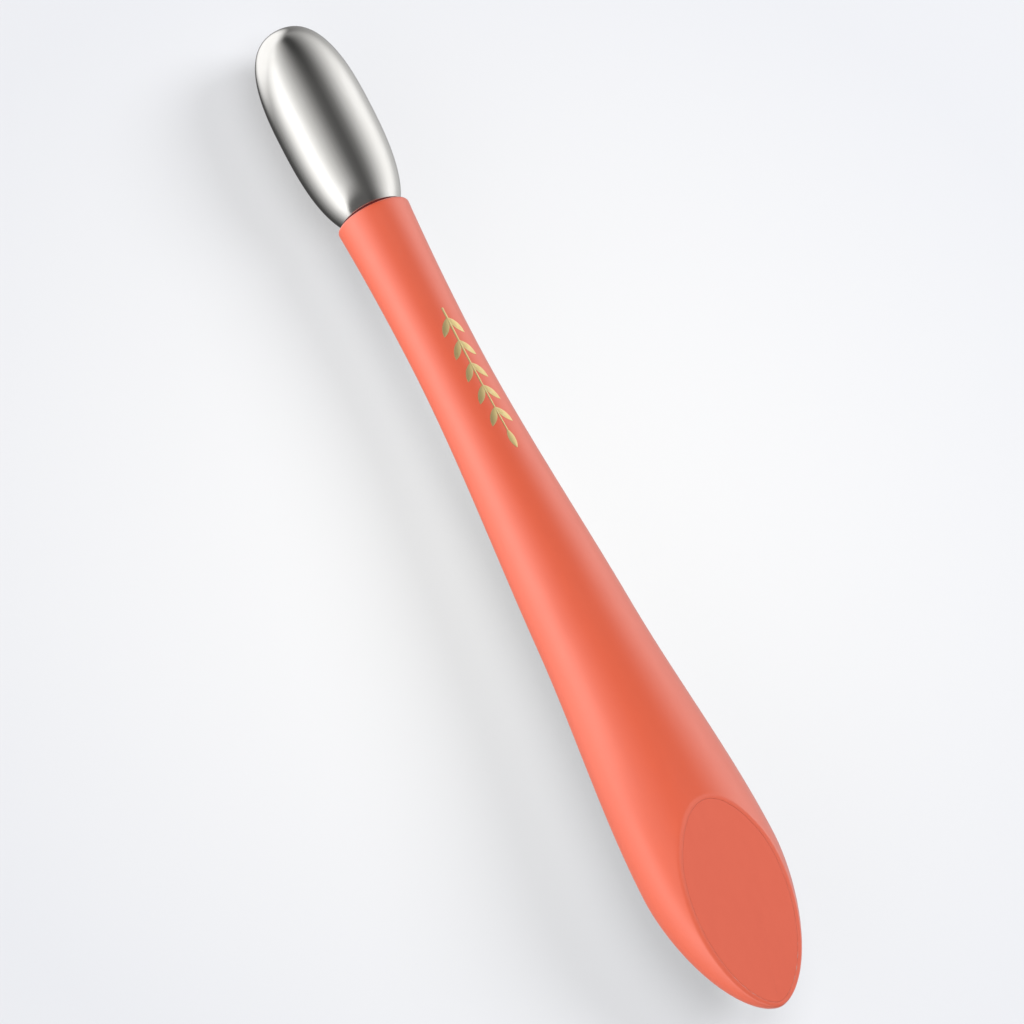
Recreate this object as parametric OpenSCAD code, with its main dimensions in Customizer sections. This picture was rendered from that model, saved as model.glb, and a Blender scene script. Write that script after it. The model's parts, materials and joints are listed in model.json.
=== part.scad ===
// Battery massage wand: a polished metal head on a slim soft-skinned grip.
// The wand is drawn along X, head tip at x = 0, and is then laid on the table.

/* [Grip] */
// Length of the whole wand
wand_l = 150; // [148:0.5:154]
// Radius at the mouth, where the metal head goes in
mouth_r = 5.13; // [5.05:0.01:5.3]
// Radius at the waist, the slimmest place
waist_r = 4.58; // [4.5:0.01:4.8]
// Radius half way up the swell
mid_r = 6.86; // [6.8:0.01:7.1]
// Radius of the belly, the widest place
belly_r = 9.48; // [9.3:0.01:9.8]
// Thickness of the soft skin over the hard core
skin_t = 0.5; // [0.4:0.05:0.55]

/* [Head] */
// Largest radius of the metal head
head_r = 6.55; // [6.3:0.05:7]
// Distance from the head's tip to its widest place
head_x = 14.4; // [13.5:0.1:15]
// Roundness of the head: 2 is an ellipse, more is squarer
head_power = 2.59; // [2.3:0.01:2.9]
// Radius of the bore that holds the motor
head_bore_r = 3.3; // [3.3:0.02:3.4]

/* [Thumb button] */
// Angle between the slanted end face and the wand's axis
slant = 18.3; // [17.5:0.1:19]
// Width of the grip's rim around the button, along the face
rim_w = 0.5; // [0.4:0.05:0.6]
// Gap between the rim and the button
button_gap = 0.1; // [0.08:0.01:0.15]
// Thickness of the soft pad on the button
pad_t = 0.7; // [0.6:0.05:0.75]
// Travel of the button
travel = 0.5; // [0.3:0.05:0.55]

/* [Power] */
// Radius of the slim dry cell
cell_r = 4.15; // [4:0.05:4.15]
// Length of the cell, with its nub
cell_l = 42.5; // [40:0.5:42.5]
// Radius of the vibration motor
motor_r = 2.85; // [2.7:0.05:2.85]
// Length of the motor's can
motor_l = 12; // [10:0.5:12]

/* [Hidden] */

fine = 96;
mid = 48;
small = 32;
eps = 0.01;

// Stations along the wand
mouth_x = 28.7;
waist_x = 49.1;
mid_x = 92;
belly_x = 129;
mouth_slope = -0.055;
mid_slope = 0.051;
tail_l = wand_l - belly_x;
tail_power = 1.75;
head_back_l = 16.2;
head_end_x = 29.2;
lip_x = mouth_x + 0.5;
lip_r = 4.45;

// Inside the core
seat_r = 4.2;
seat_x = 30.3;
neck_bore_r = 3.2;
chamber_r = 4.8;
chamber_x = 79;
belly_bore_r = 7.2;
cavity_end_x = 141;

// The slanted face and what lies under it; depths are along its normal
face_x = 137;
face_cross = 150.7;
face_z = slant_z(face_x);
pad_depth = 1.3;
pocket_depth = pad_depth + travel + 0.1;
plate_top = pocket_depth + 0.05;
plate_bottom = plate_top + 1.25;
plate_inset = 1.5;
boss_bottom = plate_top + 0.7;
boss_r = 1.5;
boss_hole_r = 2;
plunger_r = 1.65;
plunger_top = boss_bottom + 0.05;
switch_w = 6;
switch_top = plate_bottom + 0.3;
switch_h = 3.5;
skirt_w = 8;
board_t = 0.8;
screw_u = 6.8;
screw_v = 2.2;
screw_r = 0.7;
screw_l = 4.2;
leg_v = 4.4;
leg_t = 0.6;
leg_w = 2.4;
hook_t = 0.5;
hook_h = 0.7;

// Head and motor
bore_start = 4;
motor_x = 7.5;
motor_end = motor_x + motor_l;
can_t = 0.25;
sleeve_t = 0.4;
shaft_r = 0.4;
bush_r = 1;
magnet_r = 1.8;
winding_r = 2.45;
winding_t = 0.45;
weight_r = 2.5;
stem_x = 21.5;
stem_bore_r = 1.4;
stem_end = 38;
thread_r = 2.25;
lead_r = 0.45;
lead_y = 0.75;

// Cell and contacts
cell_x = 81;
cell_end = cell_x + cell_l;
nub_l = 0.8;
nub_r = 1.9;
carrier_r = 4.7;
carrier_x = chamber_x + 0.3;
carrier_end = cell_end + 1.1;
contact_t = 0.4;
contact_x = 127.4;
wire_r = 0.25;
strip_w = 2;
strip_t = 0.25;
strip_z = -4.6;

// Gold foil sprig on the neck
foil_t = 0.04;
foil_lift = 0.02;
sprig_x = 46;
sprig_l = 22;
sprig_turn = 12;
stem_w = 0.3;
leaf_l = 3;
leaf_r = 2.6;
leaf_pairs = 5;
leaf_angle = 32;

// Cubic curve from (x0, r0) with slope m0 to (x1, r1) with slope m1
function cubic(x, x0, x1, r0, r1, m0, m1) =
    let (h = x1 - x0, u = (x - x0) / h, uu = u * u, uuu = uu * u)
    r0 * (2 * uuu - 3 * uu + 1) + m0 * h * (uuu - 2 * uu + u)
    + r1 * (3 * uu - 2 * uuu) + m1 * h * (uuu - uu);

// Radius of the grip at x
function grip_r(x) =
    x < waist_x ? cubic(x, mouth_x, waist_x, mouth_r, waist_r, mouth_slope, 0)
    : x < mid_x ? cubic(x, waist_x, mid_x, waist_r, mid_r, 0, mid_slope)
    : x < belly_x ? cubic(x, mid_x, belly_x, mid_r, belly_r, mid_slope, 0)
    : belly_r * pow(max(0, 1 - pow((x - belly_x) / tail_l, tail_power)), 1 / tail_power);

// Height of the slanted face above the axis at x
function slant_z(x) = (face_cross - x) * tan(slant);

// How far the grip's surface reaches past the slanted face at x
function past(x) = pow(grip_r(x), 2) - pow(slant_z(x), 2);

// Place between a and b where the surface crosses the face, found by halving
function crossing(a, b, n = 30) =
    let (m = (a + b) / 2)
    n == 0 ? m : past(m) * past(a) > 0 ? crossing(m, b, n - 1) : crossing(a, m, n - 1);

oval_a = crossing(115, face_x);
oval_b = crossing(face_x, wand_l);
oval_steps = 24;

// Point of the face's outline at angle a round it, in the face's own plane
function oval_point(a) =
    let (x = (oval_a + oval_b) / 2 - (oval_b - oval_a) / 2 * cos(a), y = sqrt(max(0, past(x))))
    [(x - face_x) / cos(slant), a < 180 ? y : -y];
oval = [for (i = [0:2 * oval_steps - 1]) oval_point(i * 180 / oval_steps)];

// The face's outline moved inwards by d
function oval_inset(d) =
    [for (i = [0:len(oval) - 1])
        let (n = len(oval), t = oval[(i + 1) % n] - oval[(i + n - 1) % n])
        oval[i] + d * [t.y, -t.x] / norm(t)];

// Outline of the grip from start, inset by e, as [radius, x]
function grip_outline(e, start) = concat(
    [[0, start]],
    [for (x = [start : (waist_x - start) / 5 : waist_x - eps]) [grip_r(x) - e, x]],
    [for (x = [waist_x : (mid_x - waist_x) / 9 : mid_x - eps]) [grip_r(x) - e, x]],
    [for (x = [mid_x : (belly_x - mid_x) / 9 : belly_x - eps]) [grip_r(x) - e, x]],
    [for (a = [90:-7.5:0]) [(belly_r - e) * pow(sin(a), 2 / tail_power),
        belly_x + (tail_l - e) * pow(cos(a), 2 / tail_power)]]);

// Outline of the metal head, as [radius, x]
head_outline = concat(
    [for (a = [0:7.5:90]) [head_r * pow(sin(a), 2 / head_power),
        head_x - head_x * pow(cos(a), 2 / head_power)]],
    [for (x = [head_x + 2 : (head_end_x - head_x - 2) / 9 : head_end_x + eps])
        [head_r * pow(1 - pow((x - head_x) / head_back_l, head_power), 1 / head_power), x]],
    [[0, head_end_x]]);

// Rest on the table: the wand tips until the head and the belly both touch it
rest_tilt = asin((belly_r - head_r) / (belly_x - head_x));
rest_middle = oval_b / 2;
rest_height = max([for (p = concat(grip_outline(0, mouth_x), head_outline))
    p[0] * cos(rest_tilt) - (p[1] - rest_middle) * sin(rest_tilt)]);

// The hollow inside the core, as [radius, x]
cavity_outline = [[0, mouth_x], [seat_r, mouth_x], [seat_r, seat_x], [neck_bore_r, seat_x],
    [neck_bore_r, 62], [chamber_r, chamber_x], [chamber_r, 112], [belly_bore_r, 118],
    [belly_bore_r, 133], [6.2, 139], [5, cavity_end_x], [0, cavity_end_x]];

// Lays the finished wand on the table, with the slanted face up
module lay() {
    translate([0, 0, rest_height]) rotate([0, -rest_tilt, 0]) translate([-rest_middle, 0, 0])
        children();
}

// A solid of revolution round the wand's axis
module spin(points, facets = fine) {
    rotate([0, 90, 0]) rotate_extrude($fn = facets) polygon(points);
}

// A rod along the wand's axis, from x0 to x1
module rod(x0, x1, r, y = 0, z = 0, facets = mid) {
    translate([x0, y, z]) rotate([0, 90, 0]) cylinder(h = x1 - x0, r = r, $fn = facets);
}

// A tube along the wand's axis
module tube(x0, x1, r_out, r_in, facets = mid) {
    difference() {
        rod(x0, x1, r_out, facets = facets);
        rod(x0 - 1, x1 + 1, r_in, facets = facets);
    }
}

// Puts things in the slanted face's frame: X along the face, Z along its normal
module on_face() {
    translate([face_x, 0, face_z]) rotate([0, slant, 0]) children();
}

// A slab of the face's outline inset by d, from depth a up to depth b
module oval_slab(d, a, b) {
    on_face() translate([0, 0, -a]) linear_extrude(height = a - b) polygon(oval_inset(d));
}

// A block in the face's frame, centred on (u, v), from depth a up to depth b
module face_block(u, v, lu, lv, a, b) {
    on_face() translate([u - lu / 2, v - lv / 2, -a]) cube([lu, lv, a - b]);
}

// A rod in the face's frame at (u, v), from depth a up to depth b
module face_rod(u, v, r, a, b) {
    on_face() translate([u, v, -a]) cylinder(h = a - b, r = r, $fn = small);
}

// Everything above the slanted face, and the pocket that the button sits in
module end_cut() {
    on_face() translate([-40, -20, 0]) cube([80, 40, 40]);
    oval_slab(rim_w, pocket_depth, -1);
}

module grip_skin() {
    color([0.89, 0.42, 0.32]) lay() difference() {
        spin(grip_outline(0, mouth_x));
        spin(grip_outline(skin_t, lip_x));
        rod(mouth_x - 1, lip_x + 1, lip_r);
        end_cut();
    }
}

// Hard core of the grip, before it is split lengthwise
module core() {
    difference() {
        spin(grip_outline(skin_t, lip_x));
        spin(cavity_outline);
        end_cut();
        oval_slab(plate_inset - 0.1, plate_bottom, 0);
        for (side = [-1, 1])
            face_rod(screw_u, side * screw_v, screw_r + 0.02, plate_bottom + screw_l, 0);
    }
}

// One half of the core; side is 1 for left and -1 for right
module core_half(side) {
    intersection() {
        core();
        translate([0, side > 0 ? 0 : -20, -20]) cube([wand_l + 10, 20, 40]);
    }
}

module core_left() {
    color([0.86, 0.86, 0.84]) lay() core_half(1);
}

module core_right() {
    color([0.8, 0.8, 0.78]) lay() core_half(-1);
}

module massage_head() {
    color([0.78, 0.77, 0.75]) lay() difference() {
        spin(head_outline);
        rod(bore_start, head_end_x + 1, head_bore_r);
    }
}

// Stem that plugs into the head and screws into the neck; the leads run through it
module head_stem() {
    color([0.35, 0.35, 0.37]) lay() difference() {
        union() {
            rod(stem_x, seat_x, head_bore_r - 0.05);
            rod(seat_x - eps, stem_end, thread_r);
            for (x = [seat_x + 1 : 1 : stem_end - 1])
                spin([[thread_r - 0.1, x - 0.3], [thread_r + 0.04, x - 0.1],
                    [thread_r + 0.04, x + 0.1], [thread_r - 0.1, x + 0.3]], mid);
        }
        rod(stem_x - 1, stem_end + 1, stem_bore_r);
        rod(stem_x - 1, stem_x + 5, stem_bore_r + 0.9);
    }
}

module seal_ring() {
    color([0.45, 0.07, 0.05]) lay() tube(head_end_x + 0.1, seat_x, seat_r - 0.03, head_bore_r);
}

module neck_insert() {
    color([0.78, 0.62, 0.3]) lay() difference() {
        rod(seat_x + 0.1, stem_end + 1, neck_bore_r - 0.03);
        rod(seat_x, stem_end + 2, thread_r + 0.06);
        for (x = [33, 36])
            tube(x, x + 0.6, neck_bore_r + 1, neck_bore_r - 0.25);
    }
}

module motor_sleeve() {
    color([0.15, 0.15, 0.16]) lay() difference() {
        tube(motor_x - 0.4, motor_end - 1, motor_r + sleeve_t, motor_r + 0.01);
        for (a = [0:60:300])
            rotate([a, 0, 0]) rod(motor_x - 1, motor_end, 0.3, 0, motor_r + sleeve_t, small);
    }
}

module motor_can() {
    color([0.72, 0.72, 0.7]) lay() difference() {
        rod(motor_x, motor_end, motor_r);
        rod(motor_x + can_t, motor_end + 1, motor_r - can_t);
        rod(motor_x - 1, motor_x + 1, bush_r + 0.01);
    }
}

module motor_bush() {
    color([0.75, 0.55, 0.3]) lay() tube(motor_x - 0.3, motor_x + 3, bush_r, shaft_r + 0.03);
}

module motor_magnet() {
    color([0.3, 0.3, 0.32]) lay()
        tube(motor_x + can_t + 0.02, motor_end - 3.5, magnet_r, bush_r + 0.02);
}

module motor_end_cap() {
    color([0.9, 0.88, 0.8]) lay() difference() {
        rod(motor_end - 1.2, motor_end + 0.2, motor_r - can_t - 0.02);
        for (side = [-1, 1])
            translate([motor_end - 2, side * 1.1 - 0.17, -0.6]) cube([3, 0.34, 1.2]);
    }
}

module motor_terminals() {
    color([0.8, 0.66, 0.3]) lay() for (side = [-1, 1])
        translate([motor_end - 1.1, side * 1.1 - 0.15, -0.55]) cube([2.4, 0.3, 1.1]);
}

module motor_shaft() {
    color([0.75, 0.75, 0.76]) lay() rod(bore_start + 0.5, motor_end - 1.4, shaft_r, facets = small);
}

// Cup-shaped coil that turns round the magnet
module rotor_winding() {
    color([0.72, 0.4, 0.2]) lay() difference() {
        rod(motor_x + 1.2, motor_end - 1.8, winding_r);
        rod(motor_x, motor_end - 2.8, winding_r - winding_t);
        rod(motor_x, motor_end, shaft_r, facets = small);
    }
}

// Half-round weight on the front of the motor's shaft
module eccentric_weight() {
    color([0.6, 0.55, 0.45]) lay() difference() {
        intersection() {
            rod(bore_start + 0.6, motor_x - 0.5, weight_r);
            translate([0, -weight_r, -weight_r]) cube([20, 2 * weight_r, weight_r + 0.7]);
        }
        rod(bore_start, motor_x, shaft_r, facets = small);
    }
}

// A motor lead, from its terminal through the stem and the neck to the cell carrier
module lead(side) {
    lay() rod(motor_end + 1.5, carrier_x, lead_r, side * lead_y, 0, small);
}

module lead_red() {
    color([0.75, 0.1, 0.08]) lead(1);
}

module lead_black() {
    color([0.08, 0.08, 0.08]) lead(-1);
}

// Tube that holds the cell, with a front wall, a window on top and a groove below
module cell_carrier() {
    color([0.25, 0.26, 0.28]) lay() difference() {
        rod(carrier_x, carrier_end, carrier_r);
        rod(carrier_x + 1, carrier_end + 1, cell_r + 0.1);
        translate([carrier_x + 6, -2.6, 0]) cube([26, 5.2, 8]);
        translate([carrier_x + 1, -strip_w / 2 - 0.1, -8]) cube([60, strip_w + 0.2, 8]);
        for (side = [-1, 1])
            rod(carrier_x - 1, carrier_x + 2, lead_r + 0.05, side * lead_y, 0, small);
    }
}

module cell_body() {
    color([0.2, 0.22, 0.25]) lay() rod(cell_x + nub_l, cell_end, cell_r);
}

module cell_nub() {
    color([0.8, 0.8, 0.78]) lay() rod(cell_x, cell_x + nub_l, nub_r);
}

// Spring plate against the cell's nub, set on the carrier's front wall
module positive_contact() {
    color([0.8, 0.72, 0.5]) lay() {
        translate([carrier_x + 1, -2.2, -2.2]) cube([contact_t, 4.4, 4.4]);
        rod(carrier_x + 1, cell_x, 1.2);
    }
}

// Coil spring that presses on the flat end of the cell
spring_turns = 3.5;
spring_steps = 20;
spring_sides = 6;
function spring_r(t) = 3.3 - 1.1 * t;
function spring_point(i, j) =
    let (t = i / (spring_turns * spring_steps), a = 360 * i / spring_steps,
        b = 360 * j / spring_sides, r = spring_r(t) + wire_r * cos(b),
        x = contact_x - wire_r - t * (contact_x - cell_end - 2 * wire_r) + wire_r * sin(b))
    [x, r * cos(a), r * sin(a)];

module negative_spring() {
    rings = spring_turns * spring_steps;
    points = [for (i = [0:rings], j = [0:spring_sides - 1]) spring_point(i, j)];
    walls = [for (i = [0:rings - 1], j = [0:spring_sides - 1])
        let (k = (j + 1) % spring_sides, a = i * spring_sides, b = a + spring_sides)
        [a + j, b + j, b + k, a + k]];
    start = [for (j = [0:spring_sides - 1]) j];
    finish = [for (j = [0:spring_sides - 1]) rings * spring_sides + spring_sides - 1 - j];
    color([0.75, 0.76, 0.78]) lay() polyhedron(points, concat(walls, [start], [finish]));
}

module negative_contact() {
    color([0.8, 0.72, 0.5]) lay()
        translate([contact_x, -3.2, -3.6]) cube([contact_t, 6.4, 7.2]);
}

// Return strip under the cell, from the motor's lead to the switch board
module negative_strip() {
    color([0.8, 0.8, 0.78]) lay() {
        translate([carrier_x + 1.1, -strip_w / 2, strip_z])
            cube([129.6 - carrier_x - 1.1, strip_w, strip_t]);
        translate([129.6 - strip_t, -strip_w / 2, strip_z]) cube([strip_t, strip_w, 3.2]);
    }
}

// Plate under the button, with a box for the switch and a wall for the cell's contact
module tail_frame() {
    color([0.3, 0.31, 0.33]) lay() difference() {
        union() {
            oval_slab(plate_inset, plate_bottom, plate_top);
            face_block(-14, 0, 2.4, 4, plate_bottom, plate_bottom - 0.45);
            face_block(0, 0, skirt_w, skirt_w, switch_top + switch_h, plate_bottom - eps);
            translate([contact_x + contact_t, -3.4, -4]) cube([1.2, 6.8, 8.8]);
        }
        face_rod(0, 0, boss_hole_r, plate_bottom + 1, 0);
        face_block(0, 0, switch_w + 0.1, switch_w + 0.1, switch_top + switch_h + 1, switch_top);
        face_rod(0, 0, boss_hole_r, switch_top + 1, plate_bottom - 1);
        for (side = [-1, 1]) {
            face_block(0, side * (leg_v + leg_t / 2), leg_w + 0.4, leg_t + 0.4,
                plate_bottom + 1, 0);
            face_rod(screw_u, side * screw_v, screw_r + 0.05, plate_bottom + 1, 0);
            face_rod(screw_u, side * screw_v, 1.25, plate_top + 0.85, 0);
        }
    }
}

// Two screws that hold the tail frame to the core halves
module frame_screws() {
    color([0.7, 0.7, 0.72]) lay() for (side = [-1, 1]) difference() {
        union() {
            face_rod(screw_u, side * screw_v, screw_r, plate_bottom + screw_l - 0.2, plate_top);
            face_rod(screw_u, side * screw_v, 1.2, plate_top + 0.85, plate_top + 0.05);
        }
        face_block(screw_u, side * screw_v, 1.4, 0.3, plate_top + 0.4, 0);
        face_block(screw_u, side * screw_v, 0.3, 1.4, plate_top + 0.4, 0);
    }
}

module switch_board() {
    bottom = switch_top + switch_h + board_t;
    color([0.1, 0.4, 0.2]) lay() face_block(0, 0, skirt_w, skirt_w, bottom, bottom - board_t);
}

module switch_body() {
    color([0.12, 0.12, 0.13]) lay() difference() {
        face_block(0, 0, switch_w, switch_w, switch_top + switch_h, switch_top);
        face_rod(0, 0, plunger_r + 0.05, switch_top + 1.8, 0);
    }
}

module switch_plunger() {
    color([0.85, 0.85, 0.8]) lay() face_rod(0, 0, plunger_r, plunger_top + 1.7, plunger_top);
}

// Hard carrier of the button: a plate, a boss over the switch and two hooked legs
module button_core() {
    hook_top = plate_bottom + 0.08;
    color([0.85, 0.85, 0.83]) lay() {
        oval_slab(rim_w + button_gap, pad_depth, pad_t);
        face_rod(0, 0, boss_r, boss_bottom, pad_depth - eps);
        for (side = [-1, 1]) {
            face_block(0, side * (leg_v + leg_t / 2), leg_w, leg_t, hook_top + hook_h,
                pad_depth - eps);
            face_block(0, side * (leg_v + leg_t + hook_t / 2 - eps), leg_w, hook_t,
                hook_top + hook_h, hook_top);
        }
    }
}

module button_pad() {
    color([0.87, 0.44, 0.35]) lay() oval_slab(rim_w + button_gap, pad_t, 0);
}

// One leaf of the sprig, pointing along +X from the origin
module leaf() {
    drop = sqrt(pow(leaf_r, 2) - pow(leaf_l / 2, 2));
    intersection() {
        translate([leaf_l / 2, drop]) circle(r = leaf_r, $fn = small);
        translate([leaf_l / 2, -drop]) circle(r = leaf_r, $fn = small);
    }
}

// Plain foil sprig: a stem with pairs of leaves, laid on the neck
module gold_sprig() {
    outside = [for (x = [sprig_x - 1 : 1 : sprig_x + sprig_l + 2])
        [grip_r(x) + foil_lift + foil_t, x]];
    inside = [for (x = [sprig_x + sprig_l + 2 : -1 : sprig_x - 1])
        [grip_r(x) + foil_lift, x]];
    color([0.83, 0.66, 0.3]) lay() rotate([-sprig_turn, 0, 0]) intersection() {
        spin(concat(outside, inside));
        translate([sprig_x, 0, 0]) linear_extrude(height = 8) {
            translate([0, -stem_w / 2]) square([sprig_l - leaf_l + 0.4, stem_w]);
            translate([sprig_l - leaf_l, 0]) leaf();
            for (i = [0:leaf_pairs - 1], side = [-1, 1])
                translate([1.5 + i * 3.5, 0]) rotate([0, 0, side * leaf_angle]) leaf();
        }
    }
}

grip_skin();
core_left();
core_right();
massage_head();
head_stem();
seal_ring();
neck_insert();
motor_sleeve();
motor_can();
motor_bush();
motor_magnet();
motor_end_cap();
motor_terminals();
motor_shaft();
rotor_winding();
eccentric_weight();
lead_red();
lead_black();
cell_carrier();
cell_body();
cell_nub();
positive_contact();
negative_spring();
negative_contact();
negative_strip();
tail_frame();
frame_screws();
switch_board();
switch_body();
switch_plunger();
button_core();
button_pad();
gold_sprig();
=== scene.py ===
"""Massage wand: its soft skin, metal head, thumb pad, foil sprig, seal ring and finishes.

Run as a script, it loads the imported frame, makes every piece with its own operator, and sets up
the floor, the lights and the camera. All lengths are in metres, in the frame's own coordinates.
"""

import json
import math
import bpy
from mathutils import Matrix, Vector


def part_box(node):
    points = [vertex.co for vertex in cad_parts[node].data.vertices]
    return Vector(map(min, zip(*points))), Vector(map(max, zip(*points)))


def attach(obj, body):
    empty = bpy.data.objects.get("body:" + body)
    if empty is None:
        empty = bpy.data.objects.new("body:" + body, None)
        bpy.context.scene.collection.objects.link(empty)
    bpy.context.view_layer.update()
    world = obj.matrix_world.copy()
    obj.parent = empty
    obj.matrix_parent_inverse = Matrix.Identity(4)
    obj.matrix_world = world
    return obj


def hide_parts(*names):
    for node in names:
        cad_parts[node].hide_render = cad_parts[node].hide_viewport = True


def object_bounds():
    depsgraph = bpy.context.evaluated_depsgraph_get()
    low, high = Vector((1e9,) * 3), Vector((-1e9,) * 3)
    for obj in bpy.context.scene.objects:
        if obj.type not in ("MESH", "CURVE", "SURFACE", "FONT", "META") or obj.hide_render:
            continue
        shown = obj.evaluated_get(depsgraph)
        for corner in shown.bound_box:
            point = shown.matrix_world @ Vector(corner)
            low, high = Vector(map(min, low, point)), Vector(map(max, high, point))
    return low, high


bl_info = {
    "name": "Massage Wand",
    "version": (1, 0, 0),
    "blender": (4, 5, 0),
    "location": "View3D > Sidebar > Wand",
    "description": "Builds the pieces, finishes and studio of a slim massage wand",
    "category": "Object",
}

import bmesh
import bpy
import numpy as np
from mathutils import Matrix, Vector

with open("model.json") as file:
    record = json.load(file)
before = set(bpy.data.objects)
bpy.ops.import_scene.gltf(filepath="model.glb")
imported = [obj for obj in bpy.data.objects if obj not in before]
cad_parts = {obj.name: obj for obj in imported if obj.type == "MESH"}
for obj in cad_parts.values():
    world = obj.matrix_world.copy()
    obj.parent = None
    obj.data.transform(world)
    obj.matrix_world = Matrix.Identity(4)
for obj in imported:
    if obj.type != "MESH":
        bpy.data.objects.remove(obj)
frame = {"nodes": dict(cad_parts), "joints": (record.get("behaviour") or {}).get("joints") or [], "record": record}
CAD_LOW, CAD_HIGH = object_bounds()

MM = 0.001

# The wand's own axes: stations run from the head's tip, heights point to the slanted face's side
SPIN = next(j for j in frame["joints"] if j["name"] == "rotor_spin")
THUMB = next(m for m in frame["record"]["mounts"] if m["name"] == "thumb_face")
SPIN_STATION = 10 * MM
ALONG = Vector(SPIN["axis"]).normalized()
ACROSS = Vector((0, 1, 0))
UPWARD = ALONG.cross(ACROSS)
TIP = Vector(SPIN["pos_m"]) - ALONG * SPIN_STATION
TURN = Matrix((ALONG, ACROSS, UPWARD)).transposed()

# Stations along the wand
MOUTH_X = 28.7 * MM
WAIST_X = 49.1 * MM
MIDDLE_X = 92 * MM
BELLY_X = 129 * MM
END_X = 150 * MM
MOUTH_SLOPE = -0.055
MIDDLE_SLOPE = 0.051
TAIL_POWER = 1.75
LIP_X = MOUTH_X + 0.5 * MM
LIP_RADIUS = 4.45 * MM
HEAD_END_X = 29.2 * MM
HEAD_WIDEST_X = 14.4 * MM
HEAD_BACK = 16.2 * MM
HEAD_BORE = 3.3 * MM
HEAD_BORE_X = 4 * MM

# The slanted face, in the wand's own axes
FACE_POINT = Vector(THUMB["pos_m"]) - TIP
FACE_X, FACE_Z = FACE_POINT.dot(ALONG), FACE_POINT.dot(UPWARD)
FACE_NORMAL = Vector(THUMB["axis"]).normalized()
SLANT = math.atan2(FACE_NORMAL.dot(ALONG), FACE_NORMAL.dot(UPWARD))

# The tail's rings swing about this line, from square across the wand to the slanted face
PIVOT_X = 110 * MM
PIVOT_Z = FACE_Z + (FACE_X - PIVOT_X) * math.tan(SLANT)
SWING = math.pi / 2 - SLANT

# How far the skin laps over the hard core's edge in the button's pocket
SKIN_LAP = 0.015 * MM

# The cell's spring, and the foil sprig on the neck
SPRING = {"Turns": 3.5, "Wide radius": 3.3 * MM, "Narrow radius": 2.2 * MM,
          "Height": 3.4 * MM, "Base": 127.15 * MM, "Wire radius": 0.25 * MM}
SPRIG = {"Start": 46 * MM, "Length": 22 * MM, "Leaf curve": 2.6 * MM, "First pair": 1.5 * MM,
         "Pair spacing": 3.5 * MM, "Stem width": 0.3 * MM, "Turn": math.radians(-12)}

# Points round every ring of the grip and the pad
AROUND = 192


# ---------------------------------------------------------------------------
# Sizes and colours
# ---------------------------------------------------------------------------


def length(name, description, value, low, high):
    return bpy.props.FloatProperty(
        name=name, description=description, default=value, min=low, max=high,
        subtype="DISTANCE", unit="LENGTH", precision=5)


def colour(name, description, value):
    return bpy.props.FloatVectorProperty(
        name=name, description=description, default=value, min=0, max=1, size=3,
        subtype="COLOR")


def amount(name, description, value, low=0.0, high=1.0):
    return bpy.props.FloatProperty(
        name=name, description=description, default=value, min=low, max=high,
        subtype="FACTOR" if high <= 1 else "NONE")


class WandSizes(bpy.types.PropertyGroup):
    """Lengths that a maker of the wand would change"""

    mouth_radius: length("Mouth radius", "Grip radius where the head goes in",
                         5.13 * MM, 5 * MM, 5.3 * MM)
    waist_radius: length("Waist radius", "Grip radius at its slimmest place",
                         4.58 * MM, 4.5 * MM, 4.8 * MM)
    middle_radius: length("Middle radius", "Grip radius half way up the swell",
                          6.86 * MM, 6.7 * MM, 7.1 * MM)
    belly_radius: length("Belly radius", "Grip radius at its widest place",
                         9.48 * MM, 9.3 * MM, 9.6 * MM)
    skin: length("Skin", "Thickness of the soft skin", 0.5 * MM, 0.4 * MM, 0.55 * MM)
    mouth_round: length("Mouth rounding", "Rounding of the grip's mouth",
                        0.42 * MM, 0.1 * MM, 0.5 * MM)
    rim_round: length("Rim rounding", "Rounding where the slanted face meets the grip",
                      0.42 * MM, 0.1 * MM, 0.45 * MM)
    rim: length("Rim", "Width of the grip's rim round the thumb pad",
                0.5 * MM, 0.46 * MM, 0.6 * MM)
    pad_gap: length("Pad gap", "Gap between the rim and the thumb pad",
                    0.02 * MM, 0.01 * MM, 0.1 * MM)
    pad_thickness: length("Pad thickness", "Thickness of the soft thumb pad",
                          0.7 * MM, 0.6 * MM, 0.75 * MM)
    head_radius: length("Head radius", "Largest radius of the metal head",
                        6.55 * MM, 6.3 * MM, 6.55 * MM)
    head_roundness: bpy.props.FloatProperty(
        name="Head roundness", description="2 is an ellipse, more is squarer",
        default=2.59, min=2.3, max=2.9)
    leaf: length("Leaf", "Length of one foil leaf", 3 * MM, 2 * MM, 4 * MM)
    leaf_pairs: bpy.props.IntProperty(
        name="Leaf pairs", description="Pairs of leaves on the foil sprig",
        default=5, min=1, max=6)
    leaf_turn: bpy.props.FloatProperty(
        name="Leaf angle", description="Angle between a leaf and the stem",
        default=math.radians(32), min=0.2, max=1.2, subtype="ANGLE", unit="ROTATION")
    foil: length("Foil", "Height of the foil over the skin", 0.05 * MM, 0.02 * MM, 0.08 * MM)


class WandColours(bpy.types.PropertyGroup):
    """Colours of the pieces that show"""

    skin: colour("Skin", "Soft skin of the grip", (0.85, 0.124, 0.049))
    pad: colour("Pad", "Soft pad of the thumb button", (0.86, 0.145, 0.076))
    metal: colour("Metal", "Polished head", (0.80, 0.79, 0.77))
    gold: colour("Gold", "Foil of the sprig", (1.0, 0.79, 0.36))
    # The seal is a real ring in the joint; its dark red also paints the shade in the gap between head and grip
    seal: colour("Seal", "Ring in the joint between head and grip", (0.20, 0.012, 0.010))


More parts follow.
